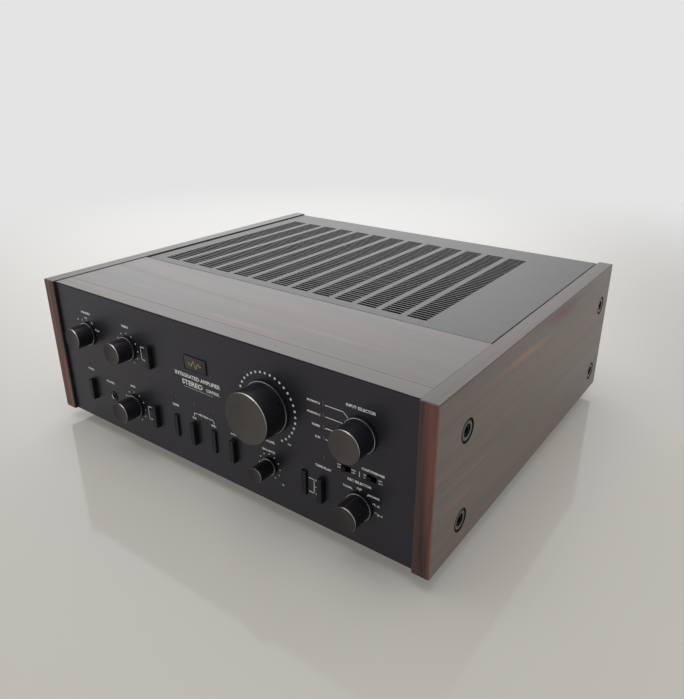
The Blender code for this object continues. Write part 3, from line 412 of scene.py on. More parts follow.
WHITE_PLASTIC = speckled("white_moulding", (0.62, 0.61, 0.57), (0.72, 0.71, 0.67), roughness=(0.35, 0.45),
                         waves=900, bump=0.08)
LENS_RED = speckled("lamp_lens_red", (0.085, 0.030, 0.026), (0.115, 0.040, 0.034), roughness=(0.12, 0.2),
                    waves=300, bump=0.02, Coat_Weight=0.5)
INK = speckled("legend_ink", (0.82, 0.82, 0.81), (0.88, 0.88, 0.86), roughness=(0.5, 0.6), waves=2500,
               bump=0.05)
GREEN_INK = speckled("legend_ink_green", (0.22, 0.36, 0.29), (0.28, 0.43, 0.35), roughness=(0.5, 0.6),
                     waves=2500, bump=0.05)
RED_INK = speckled("index_line_red", (0.12, 0.016, 0.015), (0.16, 0.022, 0.020), roughness=(0.4, 0.5),
                   waves=1500, bump=0.05)


# ---- geometry helpers
SHARP_ANGLE = math.radians(32)


def mesh_from(name, build):
    """A mesh of what build(bm) makes."""
    bm = bmesh.new()
    build(bm)
    mesh = bpy.data.meshes.new(name)
    bm.to_mesh(mesh)
    bm.free()
    return mesh


def soften(mesh):
    """Shades a mesh smooth, apart from its sharp edges."""
    mesh.shade_smooth()
    mesh.set_sharp_from_angle(angle=SHARP_ANGLE)


def piece(name, build, materials, node=None, at=Matrix.Identity(4)):
    """A new piece from build(bm), made about the point or the matrix given. It replaces a CAD node, whose
    body it joins and which it hides, or else it is an addition to the root body."""
    mesh = mesh_from(name, build)
    for item in materials if isinstance(materials, list) else [materials]:
        mesh.materials.append(item)
    soften(mesh)
    made = add_object(name, mesh)
    made.matrix_world = at if isinstance(at, Matrix) else Matrix.Translation(at)
    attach(made, BODIES[node] if node else ROOT)
    if node:
        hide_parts(node)
    return made


def settle(made):
    """Turns a piece's modifiers into its own mesh and removes their cutters."""
    bpy.context.view_layer.update()
    seen = made.evaluated_get(bpy.context.evaluated_depsgraph_get())
    mesh = bpy.data.meshes.new_from_object(seen)
    tools = [m.object for m in made.modifiers if m.type == "BOOLEAN"]
    made.modifiers.clear()
    made.data = mesh
    soften(mesh)
    for tool in tools:
        bpy.data.objects.remove(tool)


def keep_flats(made):
    """Shades the large faces flat right up to the rounded edges between them."""
    level = made.modifiers.new("flats", "WEIGHTED_NORMAL")
    level.mode = "FACE_AREA"
    level.keep_sharp = True


def carve(made, build, overlapping=False):
    """Cuts the closed shapes of build(bm) out of a piece, whose own shapes may overlap."""
    name = f"{made.name}_cutter"
    tool = add_object(name, mesh_from(name, build))
    tool.location = made.location
    cut = made.modifiers.new("cut", "BOOLEAN")
    cut.operation = "DIFFERENCE"
    cut.object = tool
    cut.solver = "EXACT"
    cut.use_self = overlapping
    settle(made)


def add_block(bm, low, high, round_off=0.0, segments=3, finish=0):
    """A box between two corners with rounded edges."""
    low, high = Vector(low), Vector(high)
    matrix = Matrix.Translation((low + high) / 2) @ Matrix.Diagonal((*(high - low), 1))
    first = len(bm.faces)
    verts = bmesh.ops.create_cube(bm, size=1, matrix=matrix)["verts"]
    if round_off:
        edges = list({e for v in verts for e in v.link_edges})
        bmesh.ops.bevel(bm, geom=edges, offset=round_off, segments=segments, profile=0.5, affect="EDGES")
    bm.faces.ensure_lookup_table()
    for face in bm.faces[first:]:
        face.material_index = finish


def add_turned(bm, profile, at=Matrix.Identity(4), sides=72, closed=False, finish=0, bands=None, wobble=None):
    """A body turned about Y, from (radius, y) points in millimetres. A closed profile makes a ring.
    bands gives single bands their own finish, and wobble(i) scales the radius of side i."""
    at = at if isinstance(at, Matrix) else Matrix.Translation(at)
    rings = []
    for radius, y in profile:
        ring = []
        for i in range(sides if radius > 0 else 1):
            turn = 2 * math.pi * i / sides
            reach = radius * MM * (wobble(i) if wobble else 1.0)
            ring.append(bm.verts.new(at @ Vector((reach * math.cos(turn), y * MM, reach * math.sin(turn)))))
        rings.append(ring)
    pairs = list(zip(rings, rings[1:]))
    if closed:
        pairs.append((rings[-1], rings[0]))
    faces = []
    for band, (near, far) in enumerate(pairs):
        for i in range(sides):
            j = (i + 1) % sides
            if len(near) == 1:
                corners = [near[0], far[j], far[i]]
            elif len(far) == 1:
                corners = [near[i], near[j], far[0]]
            else:
                corners = [near[i], near[j], far[j], far[i]]
            face = bm.faces.new(corners)
            face.material_index = (bands or {}).get(band, finish)
            faces.append(face)
    bmesh.ops.recalc_face_normals(bm, faces=faces)


def add_tube(bm, rings):
    """A closed body through rings of points, the first and the last of which are its ends."""
    rings = [[bm.verts.new(point) for point in ring] for ring in rings]
    faces = [bm.faces.new(rings[0]), bm.faces.new(rings[-1][::-1])]
    for near, far in zip(rings, rings[1:]):
        for i in range(len(near)):
            j = (i + 1) % len(near)
            faces.append(bm.faces.new([near[j], near[i], far[i], far[j]]))
    bmesh.ops.recalc_face_normals(bm, faces=faces)


def arc(centre, radius, start, end, steps=5):
    """Points on an arc, with angles in degrees."""
    points = []
    for i in range(steps + 1):
        turn = math.radians(start + (end - start) * i / steps)
        points.append((centre[0] + radius * math.cos(turn), centre[1] + radius * math.sin(turn)))
    return points


# ---- case
CHEEK_ROUND = 1.0 * MM
COUNTERBORE_RADIUS, BOLT_HOLE_RADIUS = 10.1, 2.7
NODE_GAP = 0.3 * MM  # between CAD solids that rest on each other
BOLT_TURN = {"left": Matrix.Rotation(-math.pi / 2, 4, "Z"), "right": Matrix.Rotation(math.pi / 2, 4, "Z")}


def bolt_places(side):
    """The bolts' names and places on the cheek's counterbore floors."""
    for end in ("front", "rear"):
        for row in ("lower", "upper"):
            label = f"{side}_{end}_{row}"
            low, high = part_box(f"side_washer_{label}")
            floor = high.x + NODE_GAP if side == "left" else low.x - NODE_GAP
            yield label, Vector((floor, (low.y + high.y) / 2, (low.z + high.z) / 2))


def add_cheek(side):
    """A veneered cheek with softened edges; its inner face and its four counterbored holes are black, as
    painted shade.
    """
    low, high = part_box(f"side_panel_{side}")
    inward = 1 if side == "left" else -1

    def build(bm):
        add_block(bm, low, high, CHEEK_ROUND, 4)
        bm.normal_update()
        for face in bm.faces:
            # Painted shade: the inner face is black.
            if face.normal.x * inward > 0.95:
                face.material_index = 1
            elif abs(face.normal.y) > 0.3 and abs(face.normal.z) < 0.3:
                face.material_index = 2

    made = piece(f"{side}_cheek", build, [CHEEK_WOOD, PAINTED_SHADE, LIPPING], f"side_panel_{side}")

    def holes(bm):
        profile = [(0, -6), (COUNTERBORE_RADIUS, -6), (COUNTERBORE_RADIUS, 0), (BOLT_HOLE_RADIUS, 0),
                   (BOLT_HOLE_RADIUS, 14), (0, 14)]
        for _, place in bolt_places(side):
            # Painted shade: the counterbores' walls and floors are black.
            add_turned(bm, profile, Matrix.Translation(place) @ BOLT_TURN[side], finish=1)

    carve(made, holes)
    keep_flats(made)


WASHER = [(2.5, -0.3), (2.5, -0.9), (4.9, -0.9), (5.1, -1.3), (5.3, -2.6), (5.6, -2.85), (7.9, -2.85),
          (8.15, -2.55), (9.6, -2.25), (9.6, -0.3)]
WASHER_LAND_BANDS = {4: 0, 5: 0}
SOCKET_SCREW = [(0, -0.96), (2.75, -0.96), (2.75, -2.1), (3.9, -2.1), (4.35, -1.95), (4.5, -1.6),
                (4.5, -0.95), (2.0, -0.95), (2.0, 22), (0, 22)]


def add_bolts(side):
    """Dished washers with a grey land inside a black edge, and socket screws."""
    for label, place in bolt_places(side):
        at = Matrix.Translation(place) @ BOLT_TURN[side]
        piece(f"washer_{label}", lambda bm: add_turned(
            bm, WASHER, closed=True, finish=1, bands=WASHER_LAND_BANDS), [WASHER_LAND, BOLT_BLACK],
            f"side_washer_{label}", at=at)
        piece(f"bolt_{label}", lambda bm: add_turned(bm, SOCKET_SCREW, sides=48), BOLT_BLACK,
              f"side_bolt_{label}", at=at)


TOP_DROP = 0.5 * MM  # how far the board and the cover lie under the CAD solids' tops
BOARD_LIP = 0.45 * MM  # how far the board reaches down in front of the panel
BOARD_FRONT_ROUND, BOARD_BACK_ROUND = 0.3 * MM, 0.6 * MM
GROOVE_INSET, GROOVE_HALF_WIDTH, GROOVE_DEPTH = 21 * MM, 0.22 * MM, 0.2 * MM


def add_trim():
    """The veneered board: a rounded front edge over the panel, and a fine V groove near it."""
    low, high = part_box("top_trim_wood")
    top = high.z - TOP_DROP
    panel_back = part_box("front_panel")[1].y + NODE_GAP
    groove = CHEEK_FRONT + GROOVE_INSET
    front, back = BOARD_FRONT_ROUND, BOARD_BACK_ROUND
    outline = [
        (low.y, top - BOARD_LIP),
        *arc((low.y + front, top - front), front, 180, 90),
        (groove - GROOVE_HALF_WIDTH, top), (groove, top - GROOVE_DEPTH), (groove + GROOVE_HALF_WIDTH, top),
        *arc((high.y - back, top - back), back, 90, 0, 3),
        (high.y, low.z), (panel_back, low.z), (panel_back, top - BOARD_LIP),
    ]
    ends = [[(x, y, z) for y, z in outline] for x in (low.x, high.x)]
    keep_flats(piece("trim_board", lambda bm: add_tube(bm, ends), TRIM_WOOD, "top_trim_wood"))


VENT_COLUMNS, VENT_ROWS = 13, 46
VENT_PITCH, VENT_WIDTH, VENT_LEFT = 26.85 * MM, 20.5 * MM, -196.5 * MM
SLOT_PITCH, SLOT_LENGTH = 5.0 * MM, 3.6 * MM
VENT_FRONT = CHEEK_FRONT + 130.6 * MM
SHEET, BEND = 0.6 * MM, 0.8 * MM
COVER_SEAM = 0.3 * MM  # how much wider than the CAD gap the seam before the cover is
BEND_STEPS = 6


def add_cover():
    """The folded cover: every vent slot is a real hole in the sheet, and its edges are bent down."""
    low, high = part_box("top_cover")
    xs, ys = [low.x + BEND], [low.y + BEND + COVER_SEAM]
    for column in range(VENT_COLUMNS):
        left = VENT_LEFT + column * VENT_PITCH
        xs += [left, left + VENT_WIDTH]
    for row in range(VENT_ROWS):
        front = VENT_FRONT + row * SLOT_PITCH
        ys += [front, front + SLOT_LENGTH]
    xs.append(high.x - BEND)
    ys.append(high.y - BEND)

    def build(bm):
        grid = [[bm.verts.new((x, y, high.z - TOP_DROP)) for y in ys] for x in xs]
        for i in range(len(xs) - 1):
            for j in range(len(ys) - 1):
                if not (i % 2 and j % 2):
                    bm.faces.new([grid[i][j], grid[i + 1][j], grid[i + 1][j + 1], grid[i][j + 1]])
        columns, rows = len(xs) - 1, len(ys) - 1
        rim = ([(i, 0) for i in range(columns)] + [(columns, j) for j in range(rows)]
               + [(i, rows) for i in range(columns, 0, -1)] + [(0, j) for j in range(rows, 0, -1)])

        def outward(i, j):
            return Vector(((i == columns) - (i == 0), (j == rows) - (j == 0), 0))

        ring = [grid[i][j] for i, j in rim]
        turns = [math.pi / 2 * k / BEND_STEPS for k in range(1, BEND_STEPS + 1)]
        falls = [(BEND * math.sin(turn), BEND * (1 - math.cos(turn))) for turn in turns]
        falls.append((BEND, high.z - TOP_DROP - low.z))
        for out, down in falls:
            below = [bm.verts.new(grid[i][j].co + outward(i, j) * out - Vector((0, 0, down))) for i, j in rim]
            for k in range(len(ring)):
                n = (k + 1) % len(ring)
                bm.faces.new([ring[k], below[k], below[n], ring[n]])
            ring = below
        bmesh.ops.recalc_face_normals(bm, faces=bm.faces[:])

    made = piece("vented_cover", build, [COVER_PAINT, PAINTED_SHADE], "top_cover")
    thick = made.modifiers.new("sheet", "SOLIDIFY")
    thick.thickness = SHEET
    thick.offset = -1
    # Painted shade: the sheet's underside and its slot edges are black.
    thick.material_offset = 1
    thick.material_offset_rim = 1
    settle(made)
    keep_flats(made)


# ---- controls
FLANGE_STEP, FLANGE_THICKNESS, STANDOFF, SHAFT_RADIUS = 1.3, 1.6, 0.8, 3
STEP_FACE = -STANDOFF - FLANGE_THICKNESS
KNOBS = ("speakers", "treble", "bass", "volume", "balance", "input_selector", "record_selector")
BRIGHT_FACED = ("volume", "input_selector")
KNOB_BANDS = {0: 0, 1: 0, 2: 0, 3: 2, 10: 3}  # the face, the cut rim and the flange's bright step
SMALL_RIM, VOLUME_RIM = (0.30, 0.65), (0.40, 0.9)  # the cut rim's width and depth
INDEX_ANGLES = {"volume": -150, "input_selector": -107}
INDEX_HALF_WIDTH = 0.27
SET_SCREW_RADIUS, SET_SCREW_ANGLE, SET_SCREW_OUT = 1.0, 59, 6.5


def knob_profile(radius, flange, front, end, rim, rim_depth):
    """From the middle of the faintly dished face round to the end of the shaft."""
    return [
        (0, front + 0.22), (radius - rim - 0.9, front + 0.22), (radius - rim - 0.5, front + 0.03),
        (radius - rim, front), (radius - 0.06, front + rim_depth), (radius, front + rim_depth + 0.3),
        (radius, STEP_FACE - 1.0), (radius - 0.25, STEP_FACE - 0.85), (radius - 0.25, STEP_FACE - 0.45),
        (radius + 0.05, STEP_FACE - 0.42), (radius + 0.40, STEP_FACE - 0.30),
        (flange - 0.50, STEP_FACE - 0.20), (flange - 0.08, STEP_FACE + 0.06),
        (flange, STEP_FACE + 0.3), (flange, -STANDOFF),
        (SHAFT_RADIUS, -STANDOFF), (SHAFT_RADIUS, end), (0, end),
    ]


def add_knobs():
    """Turned knobs: a bright cut rim, a dark side and a stepped flange, with a red index line. The line
    stands at the top at rest, apart from the volume's and the input selector's."""
    for name in KNOBS:
        node = f"{name}_knob"
        low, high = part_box(node)
        flange = (high.x - low.x) / 2 / MM
        radius = flange - FLANGE_STEP
        front, end = (low.y - PANEL_FACE) / MM, (high.y - PANEL_FACE) / MM
        rim, rim_depth = VOLUME_RIM if name == "volume" else SMALL_RIM

        def index_line(bm):
            low = Vector((-INDEX_HALF_WIDTH, front + rim_depth + 0.35, radius - 0.3)) * MM
            high = Vector((INDEX_HALF_WIDTH, STEP_FACE - 1.4, radius + 0.05)) * MM
            add_block(bm, low, high, 0.04 * MM, 1, finish=4)

        def build(bm):
            add_turned(bm, knob_profile(radius, flange, front, end, rim, rim_depth), sides=128, finish=1,
                       bands=KNOB_BANDS)
            line = mesh_from("index", index_line)
            line.transform(Matrix.Rotation(math.radians(INDEX_ANGLES.get(name, 0)), 4, "Y"))
            bm.from_mesh(line)
            bpy.data.meshes.remove(line)

        face = KNOB_FACE if name in BRIGHT_FACED else SMALL_FACE
        made = piece(f"{name}_control", build, [face, KNOB_SIDE, KNOB_RIM, FLANGE_RIM, RED_INK], node,
                     at=panel_point(node))
        if name == "volume":
            hole = [(0, -4), (SET_SCREW_RADIUS, -4), (SET_SCREW_RADIUS, 4), (0, 4)]
            hole_at = Matrix.Rotation(math.radians(SET_SCREW_ANGLE), 4, "Y") @ Matrix.Translation(
                (0, -SET_SCREW_OUT * MM, radius * MM)) @ Matrix.Rotation(math.pi / 2, 4, "X")
            carve(made, lambda bm: add_turned(bm, hole, hole_at, 24, finish=1))


BUTTONS = ("power_button", "bass_turnover_button", "treble_turnover_button", "tone_button", "subsonic_button",
           "high_filter_button", "muting_button", "tape_play_button_left", "tape_play_button_right")
BUTTON_HALF_WIDTH, BUTTON_HALF_HEIGHT = 2.5 * MM, 11.25 * MM
BUTTON_REACH = 4.8 * MM  # how far a cap stands out of the panel while it isn't pressed
BUTTON_ROUND, DISH_EDGE, DISH_DEPTH = 0.55 * MM, 0.45 * MM, 0.22 * MM
COLLAR, ROD_HALF = 1.2 * MM, 1.7 * MM
BEHIND_PANEL = 5.3 * MM  # from the panel's face to the parts right behind the panel


def add_buttons():
    """Tall caps with rounded edges and a shallow dished face, each with its collar and rod."""
    for node in BUTTONS:
        low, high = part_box(node)
        front, end = low.y - PANEL_FACE, high.y - PANEL_FACE

        def build(bm):
            w, h, rod = BUTTON_HALF_WIDTH, BUTTON_HALF_HEIGHT, ROD_HALF
            back = front + BUTTON_REACH + BEHIND_PANEL
            add_block(bm, (-w, front, -h), (w, back, h), BUTTON_ROUND, 4)
            face = min(bm.faces, key=lambda f: f.calc_center_median().y)
            bmesh.ops.inset_region(bm, faces=[face], thickness=DISH_EDGE)
            bmesh.ops.translate(bm, vec=(0, DISH_DEPTH, 0), verts=face.verts[:])
            add_block(bm, (-w - COLLAR, back, -h - COLLAR), (w + COLLAR, back + COLLAR, h + COLLAR),
                      0.2 * MM, 2)
            add_block(bm, (-rod, back + COLLAR, -rod), (rod, end, rod), 0.2 * MM, 2)

        piece(node.replace("_button", "_push"), build, BUTTON_BLACK, node, at=panel_point(node))


LEVER_HALF_WIDTH, LEVER_HALF_HEIGHT, LEVER_BACK = 2, 2.2, 5.0
RIDGES, RIDGE_PITCH = 3, 1.4
SLIDER_HALF = (5.5 * MM, 3.7 * MM)


def add_slides():
    """Slide levers with three ridges, on a slider plate behind the panel's slot."""
    for node in ("cartridge_load_switch", "cartridge_type_switch"):
        low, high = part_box(node)
        front = (low.y - PANEL_FACE) / MM

        def build(bm):
            outline = [(-LEVER_HALF_WIDTH, LEVER_BACK)]
            for i in range(RIDGES):
                left = -LEVER_HALF_WIDTH + i * RIDGE_PITCH
                outline += [(left, front + 0.25), (left + 0.25, front), (left + 0.85, front),
                            (left + 1.1, front + 0.25)]
                if i < RIDGES - 1:
                    outline += [(left + 1.15, front + 0.7), (left + 1.35, front + 0.7)]
            outline += [(LEVER_HALF_WIDTH, front + 0.3), (LEVER_HALF_WIDTH, LEVER_BACK)]
            add_tube(bm, [[Vector((x, y, z)) * MM for x, y in outline]
                          for z in (-LEVER_HALF_HEIGHT, LEVER_HALF_HEIGHT)])
            w, h = SLIDER_HALF
            add_block(bm, (-w, BEHIND_PANEL, -h), (w, high.y - PANEL_FACE, h), 0.15 * MM, 1)

        piece(node.replace("_switch", "_lever"), build, BUTTON_BLACK, node, at=panel_point(node))


def add_phones():
    """The headphone socket: a plated ring with a stepped mouth and a dark bore."""
    profile = [
        (0, 24), (2.6, 24), (3.3, 23), (3.3, 0.4), (3.6, -0.1), (3.7, -0.75), (4.0, -1.0), (4.6, -1.0),
        (5.1, -0.85), (5.4, -0.6), (5.4, -0.3), (4.4, -0.3), (4.4, 28), (0, 28),
    ]
    bands = {0: 1, 1: 1, 2: 1, 3: 2, 4: 2}
    piece("phones_socket", lambda bm: add_turned(bm, profile, bands=bands), [DARK_CHROME, MOULDING, NICKEL],
          "phones_jack", at=panel_point("phones_jack"))


LAMPS = [(-174.5, 66.8), (-43.5, 66.8), (-18.5, 66.8), (6.5, 66.8), (130.6, 66.8)]
LAMPS += [(130.6, 115.0 - 10.0 * i) for i in range(4)]
LENS_HALF_WIDTH, LENS_HALF_HEIGHT, LENS_FRONT, LENS_BACK = 0.87, 2.57, -0.25, -4.5


def add_lamps():
    """Narrow dark red lenses with crowned fronts, just inside the panel's windows."""
    def build(bm):
        for across, up in LAMPS:
            low = on_panel(across - LENS_HALF_WIDTH, up - LENS_HALF_HEIGHT, LENS_BACK)
            high = on_panel(across + LENS_HALF_WIDTH, up + LENS_HALF_HEIGHT, LENS_FRONT)
            add_block(bm, (low.x, high.y, low.z), (high.x, low.y, high.z), 0.35 * MM, 3)

    piece("lamp_lenses", build, LENS_RED)


BADGE_FRAME = 0.34 * MM
WAVE_LENGTH, WAVE_HEIGHT, WAVE_STEPS = 16 * MM, 3.2 * MM, 72


def add_badge():
    """A dark enamelled plate with a raised border and a gilt wave, in place of any name."""
    low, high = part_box("badge_plate")
    middle = middle_of("badge_plate")

    def build(bm):
        add_block(bm, (low.x, high.y - 0.5 * MM, low.z), (high.x, high.y, high.z), 0.15 * MM, 2)
        for x0, x1, z0, z1 in (
            (low.x, high.x, high.z - BADGE_FRAME, high.z), (low.x, high.x, low.z, low.z + BADGE_FRAME),
            (low.x, low.x + BADGE_FRAME, low.z, high.z), (high.x - BADGE_FRAME, high.x, low.z, high.z),
        ):
            add_block(bm, (x0, low.y, z0), (x1, high.y - 0.2 * MM, z1), 0.12 * MM, 2, finish=1)

    def wave(bm):
        path = []
        for i in range(WAVE_STEPS + 1):
            share = i / WAVE_STEPS
            across = (share - 0.5) * WAVE_LENGTH
            swing = WAVE_HEIGHT * math.sin(math.pi * share) * math.cos(5 * math.pi * share)
            path.append(Vector((middle.x + across, high.y - 0.62 * MM, middle.z + swing)))
        ribbon(bm, path, 0.65 * MM, 0.14 * MM)

    piece("badge", build, [BADGE_ENAMEL, BADGE_BORDER], "badge_plate")
    piece("badge_wave", wave, GOLD)


def ribbon(bm, path, width, depth):
    """A flat closed strip along a path in an upright plane, width wide and depth deep along Y."""
    rings = []
    for i, point in enumerate(path):
        ahead = path[min(i + 1, len(path) - 1)] - path[max(i - 1, 0)]
        side = Vector((-ahead.z, 0, ahead.x)).normalized() * width / 2
        deep = Vector((0, depth / 2, 0))
        rings.append([point + a * side + b * deep for a, b in ((1, 1), (1, -1), (-1, -1), (-1, 1))])
    add_tube(bm, rings)


# ---- legends
INK_DEPTH = 0.05  # millimetres that the ink stands on its panel
LINE, RULE_LINE = 0.62, 0.7  # the lines' widths
DOT_SIDES = 14
INK_LIFT = Vector((0, -INK_DEPTH * MM / 2, 0))
# What makes the letters a little bolder, for small and large ones, and the height between the two.
SMALL_BOLDNESS, LARGE_BOLDNESS, LARGE_HEIGHT = 0.042, 0.028, 2.5

# Words with the left and right ends of each, the middle height and the letters' height.
WORDS = [
    ("SPEAKERS", -176.0, -161.5, 122.0, 2.3), ("TREBLE", -111.6, -101.4, 122.0, 2.3),
    ("BASS", -110.0, -103.0, 59.0, 2.3), ("POWER", -179.5, -169.5, 58.8, 2.3),
    ("PHONES", -150.0, -137.5, 52.6, 2.3), ("TONE", -47.8, -39.2, 58.8, 2.3),
    ("FILTERS", -11.5, -0.5, 58.6, 2.0), ("SUB", -21.3, -16.0, 53.0, 1.8), ("HIGH", 3.3, 9.3, 53.0, 1.8),
    ("MUTING", 27.8, 35.2, 53.3, 1.6), ("TAPE PLAY", 122.3, 138.3, 58.5, 2.1),
    ("VOLUME", 65.5, 79.5, 61.8, 2.4), ("BALANCE", 65.2, 79.2, 52.2, 2.2),
    ("R", 86.3, 88.0, 23.7, 1.9), ("L", 57.3, 58.8, 23.7, 1.9),
    ("INPUT SELECTOR", 152.5, 178.8, 122.3, 2.6), ("REC SELECTOR", 154.0, 176.3, 58.2, 2.3),
    ("CARTRIDGE", 167.0, 187.5, 72.6, 2.2), ("PHONO-2", 115.5, 128.0, 115.0, 1.9),
    ("PHONO-1", 115.5, 128.0, 105.0, 1.9), ("TUNER", 119.5, 128.0, 95.0, 1.9),
    ("AUX", 122.5, 128.0, 85.0, 1.9),
    ("TUNER", 149.5, 157.5, 50.6, 1.8), ("OFF", 162.6, 167.4, 52.9, 1.8), ("SOURCE", 173.2, 183.4, 50.8, 1.8),
    ("1-2", 179.0, 183.8, 44.2, 1.8), ("2-1", 181.5, 186.3, 36.4, 1.8),
    ("OFF", -172.2, -167.4, 116.3, 1.6), ("A", -160.4, -158.8, 112.4, 1.8),
    ("A+B", -155.6, -149.8, 106.6, 1.8),
    ("B", -184.6, -183.0, 112.2, 1.8), ("LOW", 144.2, 148.4, 67.6, 1.1), ("HIGH", 157.6, 161.6, 67.6, 1.1),
    ("MM", 168.8, 172.0, 67.6, 1.1), ("MC", 182.2, 185.4, 67.6, 1.1), ("100", 144.2, 148.4, 65.2, 1.1),
    ("10", 157.8, 161.0, 65.2, 1.1), ("2.5", 168.8, 172.2, 65.2, 1.1), ("0.1", 182.2, 185.6, 65.2, 1.1),
    ("6k", -83.8, -80.4, 106.6, 1.6), ("3k", -83.8, -80.4, 93.3, 1.6), ("300", -84.4, -79.4, 43.2, 1.6),
    ("150", -84.4, -79.4, 29.8, 1.6), ("1", 122.2, 123.4, 43.0, 1.6), ("2", 122.0, 123.6, 29.9, 1.6),
    ("0", 49.0, 50.6, 66.6, 1.6), ("10", 94.2, 97.4, 66.6, 1.6),
    ("INTEGRATED AMPLIFIER", -38.9, 18.8, 94.6, 3.9), ("STEREO", -30.4, -3.6, 87.8, 5.0),
    ("CONTROL", 0.4, 17.2, 87.0, 3.1),
]

# Lines as strokes through points across and up.
STROKES = [
    [(133.2, 115), (150, 115), (154.2, 111.2)], [(133.2, 105), (149, 105)], [(133.2, 95), (141, 95)],
    [(133.2, 85), (134.8, 85)],
    [(-18.5, 55.2), (-18.5, 58.5), (-12.6, 58.5)], [(0.6, 58.5), (7.0, 58.5), (7.0, 55.2)],
    [(-79.5, 43.2), (-86.2, 43.2), (-86.2, 29.8), (-79.5, 29.8)],
    [(-79.5, 106.6), (-86.2, 106.6), (-86.2, 93.3), (-79.5, 93.3)],
    [(115.4, 43), (120.6, 43), (120.6, 30), (115.4, 30)], [(120.6, 36.5), (124.2, 36.5)],
    [(165, 64.2), (165, 68.2)], [(-156.6, 107), (-156.5, 107)],
]

RULE = [(-28.6, 83.2), (8.8, 83.2)]

# Rings of dots: the knob, the radius, the first and last angle, the step and the dot's radius. Marks have an
# inner and an outer radius instead.
DOTS = [
    ("treble", 15.3, -150, 150, 30, 0.72), ("bass", 15.3, -150, 150, 30, 0.72),
    ("balance", 11.6, -150, 150, 30, 0.62), ("volume", 30.5, -150, 150, 10, 1.12),
]
MARKS = [("speakers", 13.6, 16.2, -30, 60, 30), ("record_selector", 13.8, 16.0, -30, 90, 30)]


def add_words(bm, words, left, right, middle, height, locate):
    """Letters as thin closed solids between two ends, standing on the panel or the rear."""
    curve = bpy.data.curves.new("letters", "FONT")
    curve.body = words
    curve.resolution_u = 3
    curve.extrude = 0.5
    curve.offset = SMALL_BOLDNESS if height < LARGE_HEIGHT else LARGE_BOLDNESS
    holder = add_object("letters", curve)
    bpy.context.view_layer.update()
    mesh = bpy.data.meshes.new_from_object(holder.evaluated_get(bpy.context.evaluated_depsgraph_get()))
    bpy.data.objects.remove(holder)
    bpy.data.curves.remove(curve)
    lows = [min(v.co[k] for v in mesh.vertices) for k in range(2)]
    highs = [max(v.co[k] for v in mesh.vertices) for k in range(2)]
    ink = math.copysign(INK_DEPTH * MM, locate(0, 0, 1).y - locate(0, 0, 0).y)
    for vert in mesh.vertices:
        share_x = (vert.co.x - lows[0]) / (highs[0] - lows[0])
        share_y = (vert.co.y - lows[1]) / (highs[1] - lows[1])
        place = locate(left + share_x * (right - left), middle + (share_y - 0.5) * height)
        place.y += ink * (vert.co.z + 0.5)
        vert.co = place
    shapes = bmesh.new()
    shapes.from_mesh(mesh)
    bmesh.ops.remove_doubles(shapes, verts=shapes.verts[:], dist=0.002 * MM)
    bmesh.ops.recalc_face_normals(shapes, faces=shapes.faces[:])
    shapes.to_mesh(mesh)
    shapes.free()
    bm.from_mesh(mesh)
    bpy.data.meshes.remove(mesh)


def around(name, radius, degrees):
    """A point on the panel round a knob; 0 degrees is up and positive turns clockwise."""
    turn = math.radians(degrees)
    return panel_point(f"{name}_knob") + Vector((math.sin(turn), 0, math.cos(turn))) * radius * MM


def add_legends():
    """The printed words, dots and lines of the front panel."""
    def words(bm):
        for text, left, right, middle, height in WORDS:
            add_words(bm, text, left, right, middle, height, on_panel)

    def rings(bm):
        for name, radius, first, last, step, size in DOTS:
            for degrees in range(first, last + 1, step):
                add_turned(bm, [(0, -INK_DEPTH), (size, -INK_DEPTH), (size, 0), (0, 0)],
                           around(name, radius, degrees), DOT_SIDES)

    def stroke(bm, near, far, width):
        ribbon(bm, [near + INK_LIFT, far + INK_LIFT], width * MM, INK_DEPTH * MM)

    def lines(bm):
        for points in STROKES:
            for start, end in zip(points, points[1:]):
                near, far = on_panel(*start), on_panel(*end)
                over = (far - near).normalized() * LINE * MM / 2
                stroke(bm, near - over, far + over, LINE)
        for name, inner, outer, first, last, step in MARKS:
            for degrees in range(first, last + 1, step):
                stroke(bm, around(name, inner, degrees), around(name, outer, degrees), LINE)

    def rule(bm):
        stroke(bm, on_panel(*RULE[0]), on_panel(*RULE[1]), RULE_LINE)

    piece("legend_words", words, INK)
    piece("legend_dots", rings, INK)
    piece("legend_lines", lines, INK)
    piece("legend_rule", rule, GREEN_INK)


# ---- rear and feet
REAR_SCREWS = [(x, z) for z in (8, 131) for x in (-207, -130, -45, 45, 130, 207)] + [(-207, 70), (207, 70)]
CONNECTOR_FACE = REAR_FACE + NODE_GAP
FLANGE, FLANGE_MARGIN = 2.2 * MM, 4 * MM  # a connector plate's thickness, and its margin round the connectors
PLATE_SCREW = Matrix.Scale(0.55, 4)
PHONO_PAIRS, POST_PAIRS, OUTLETS = 8, 4, 3


def add_screw(bm, matrix, finish=0):
    """A pan-head screw with a cross recess, its head's underside in the plane Y = 0 and facing +Y."""
    add_turned(bm, [(0, 1.15), (0.55, 1.2), (0.6, 1.65), (1.6, 1.75), (2.4, 1.45), (2.9, 0.8), (3.0, 0.0),
                    (0, 0.0)], matrix, 32, finish=finish)
    for turn in (0, math.pi / 2):
        slot = matrix @ Matrix.Rotation(turn, 4, "Y")
        start = len(bm.verts)
        add_block(bm, (-1.5 * MM, 1.66 * MM, -0.22 * MM), (1.5 * MM, 1.78 * MM, 0.22 * MM), finish=finish + 1)
        bm.verts.ensure_lookup_table()
        bmesh.ops.transform(bm, matrix=slot, verts=bm.verts[start:])


def add_rear_screws():
    """Screws round the rear panel."""
    def build(bm):
        for across, up in REAR_SCREWS:
            add_screw(bm, Matrix.Translation(on_rear(across, up)))

    piece("rear_screws", build, [BOLT_BLACK, MOULDING])


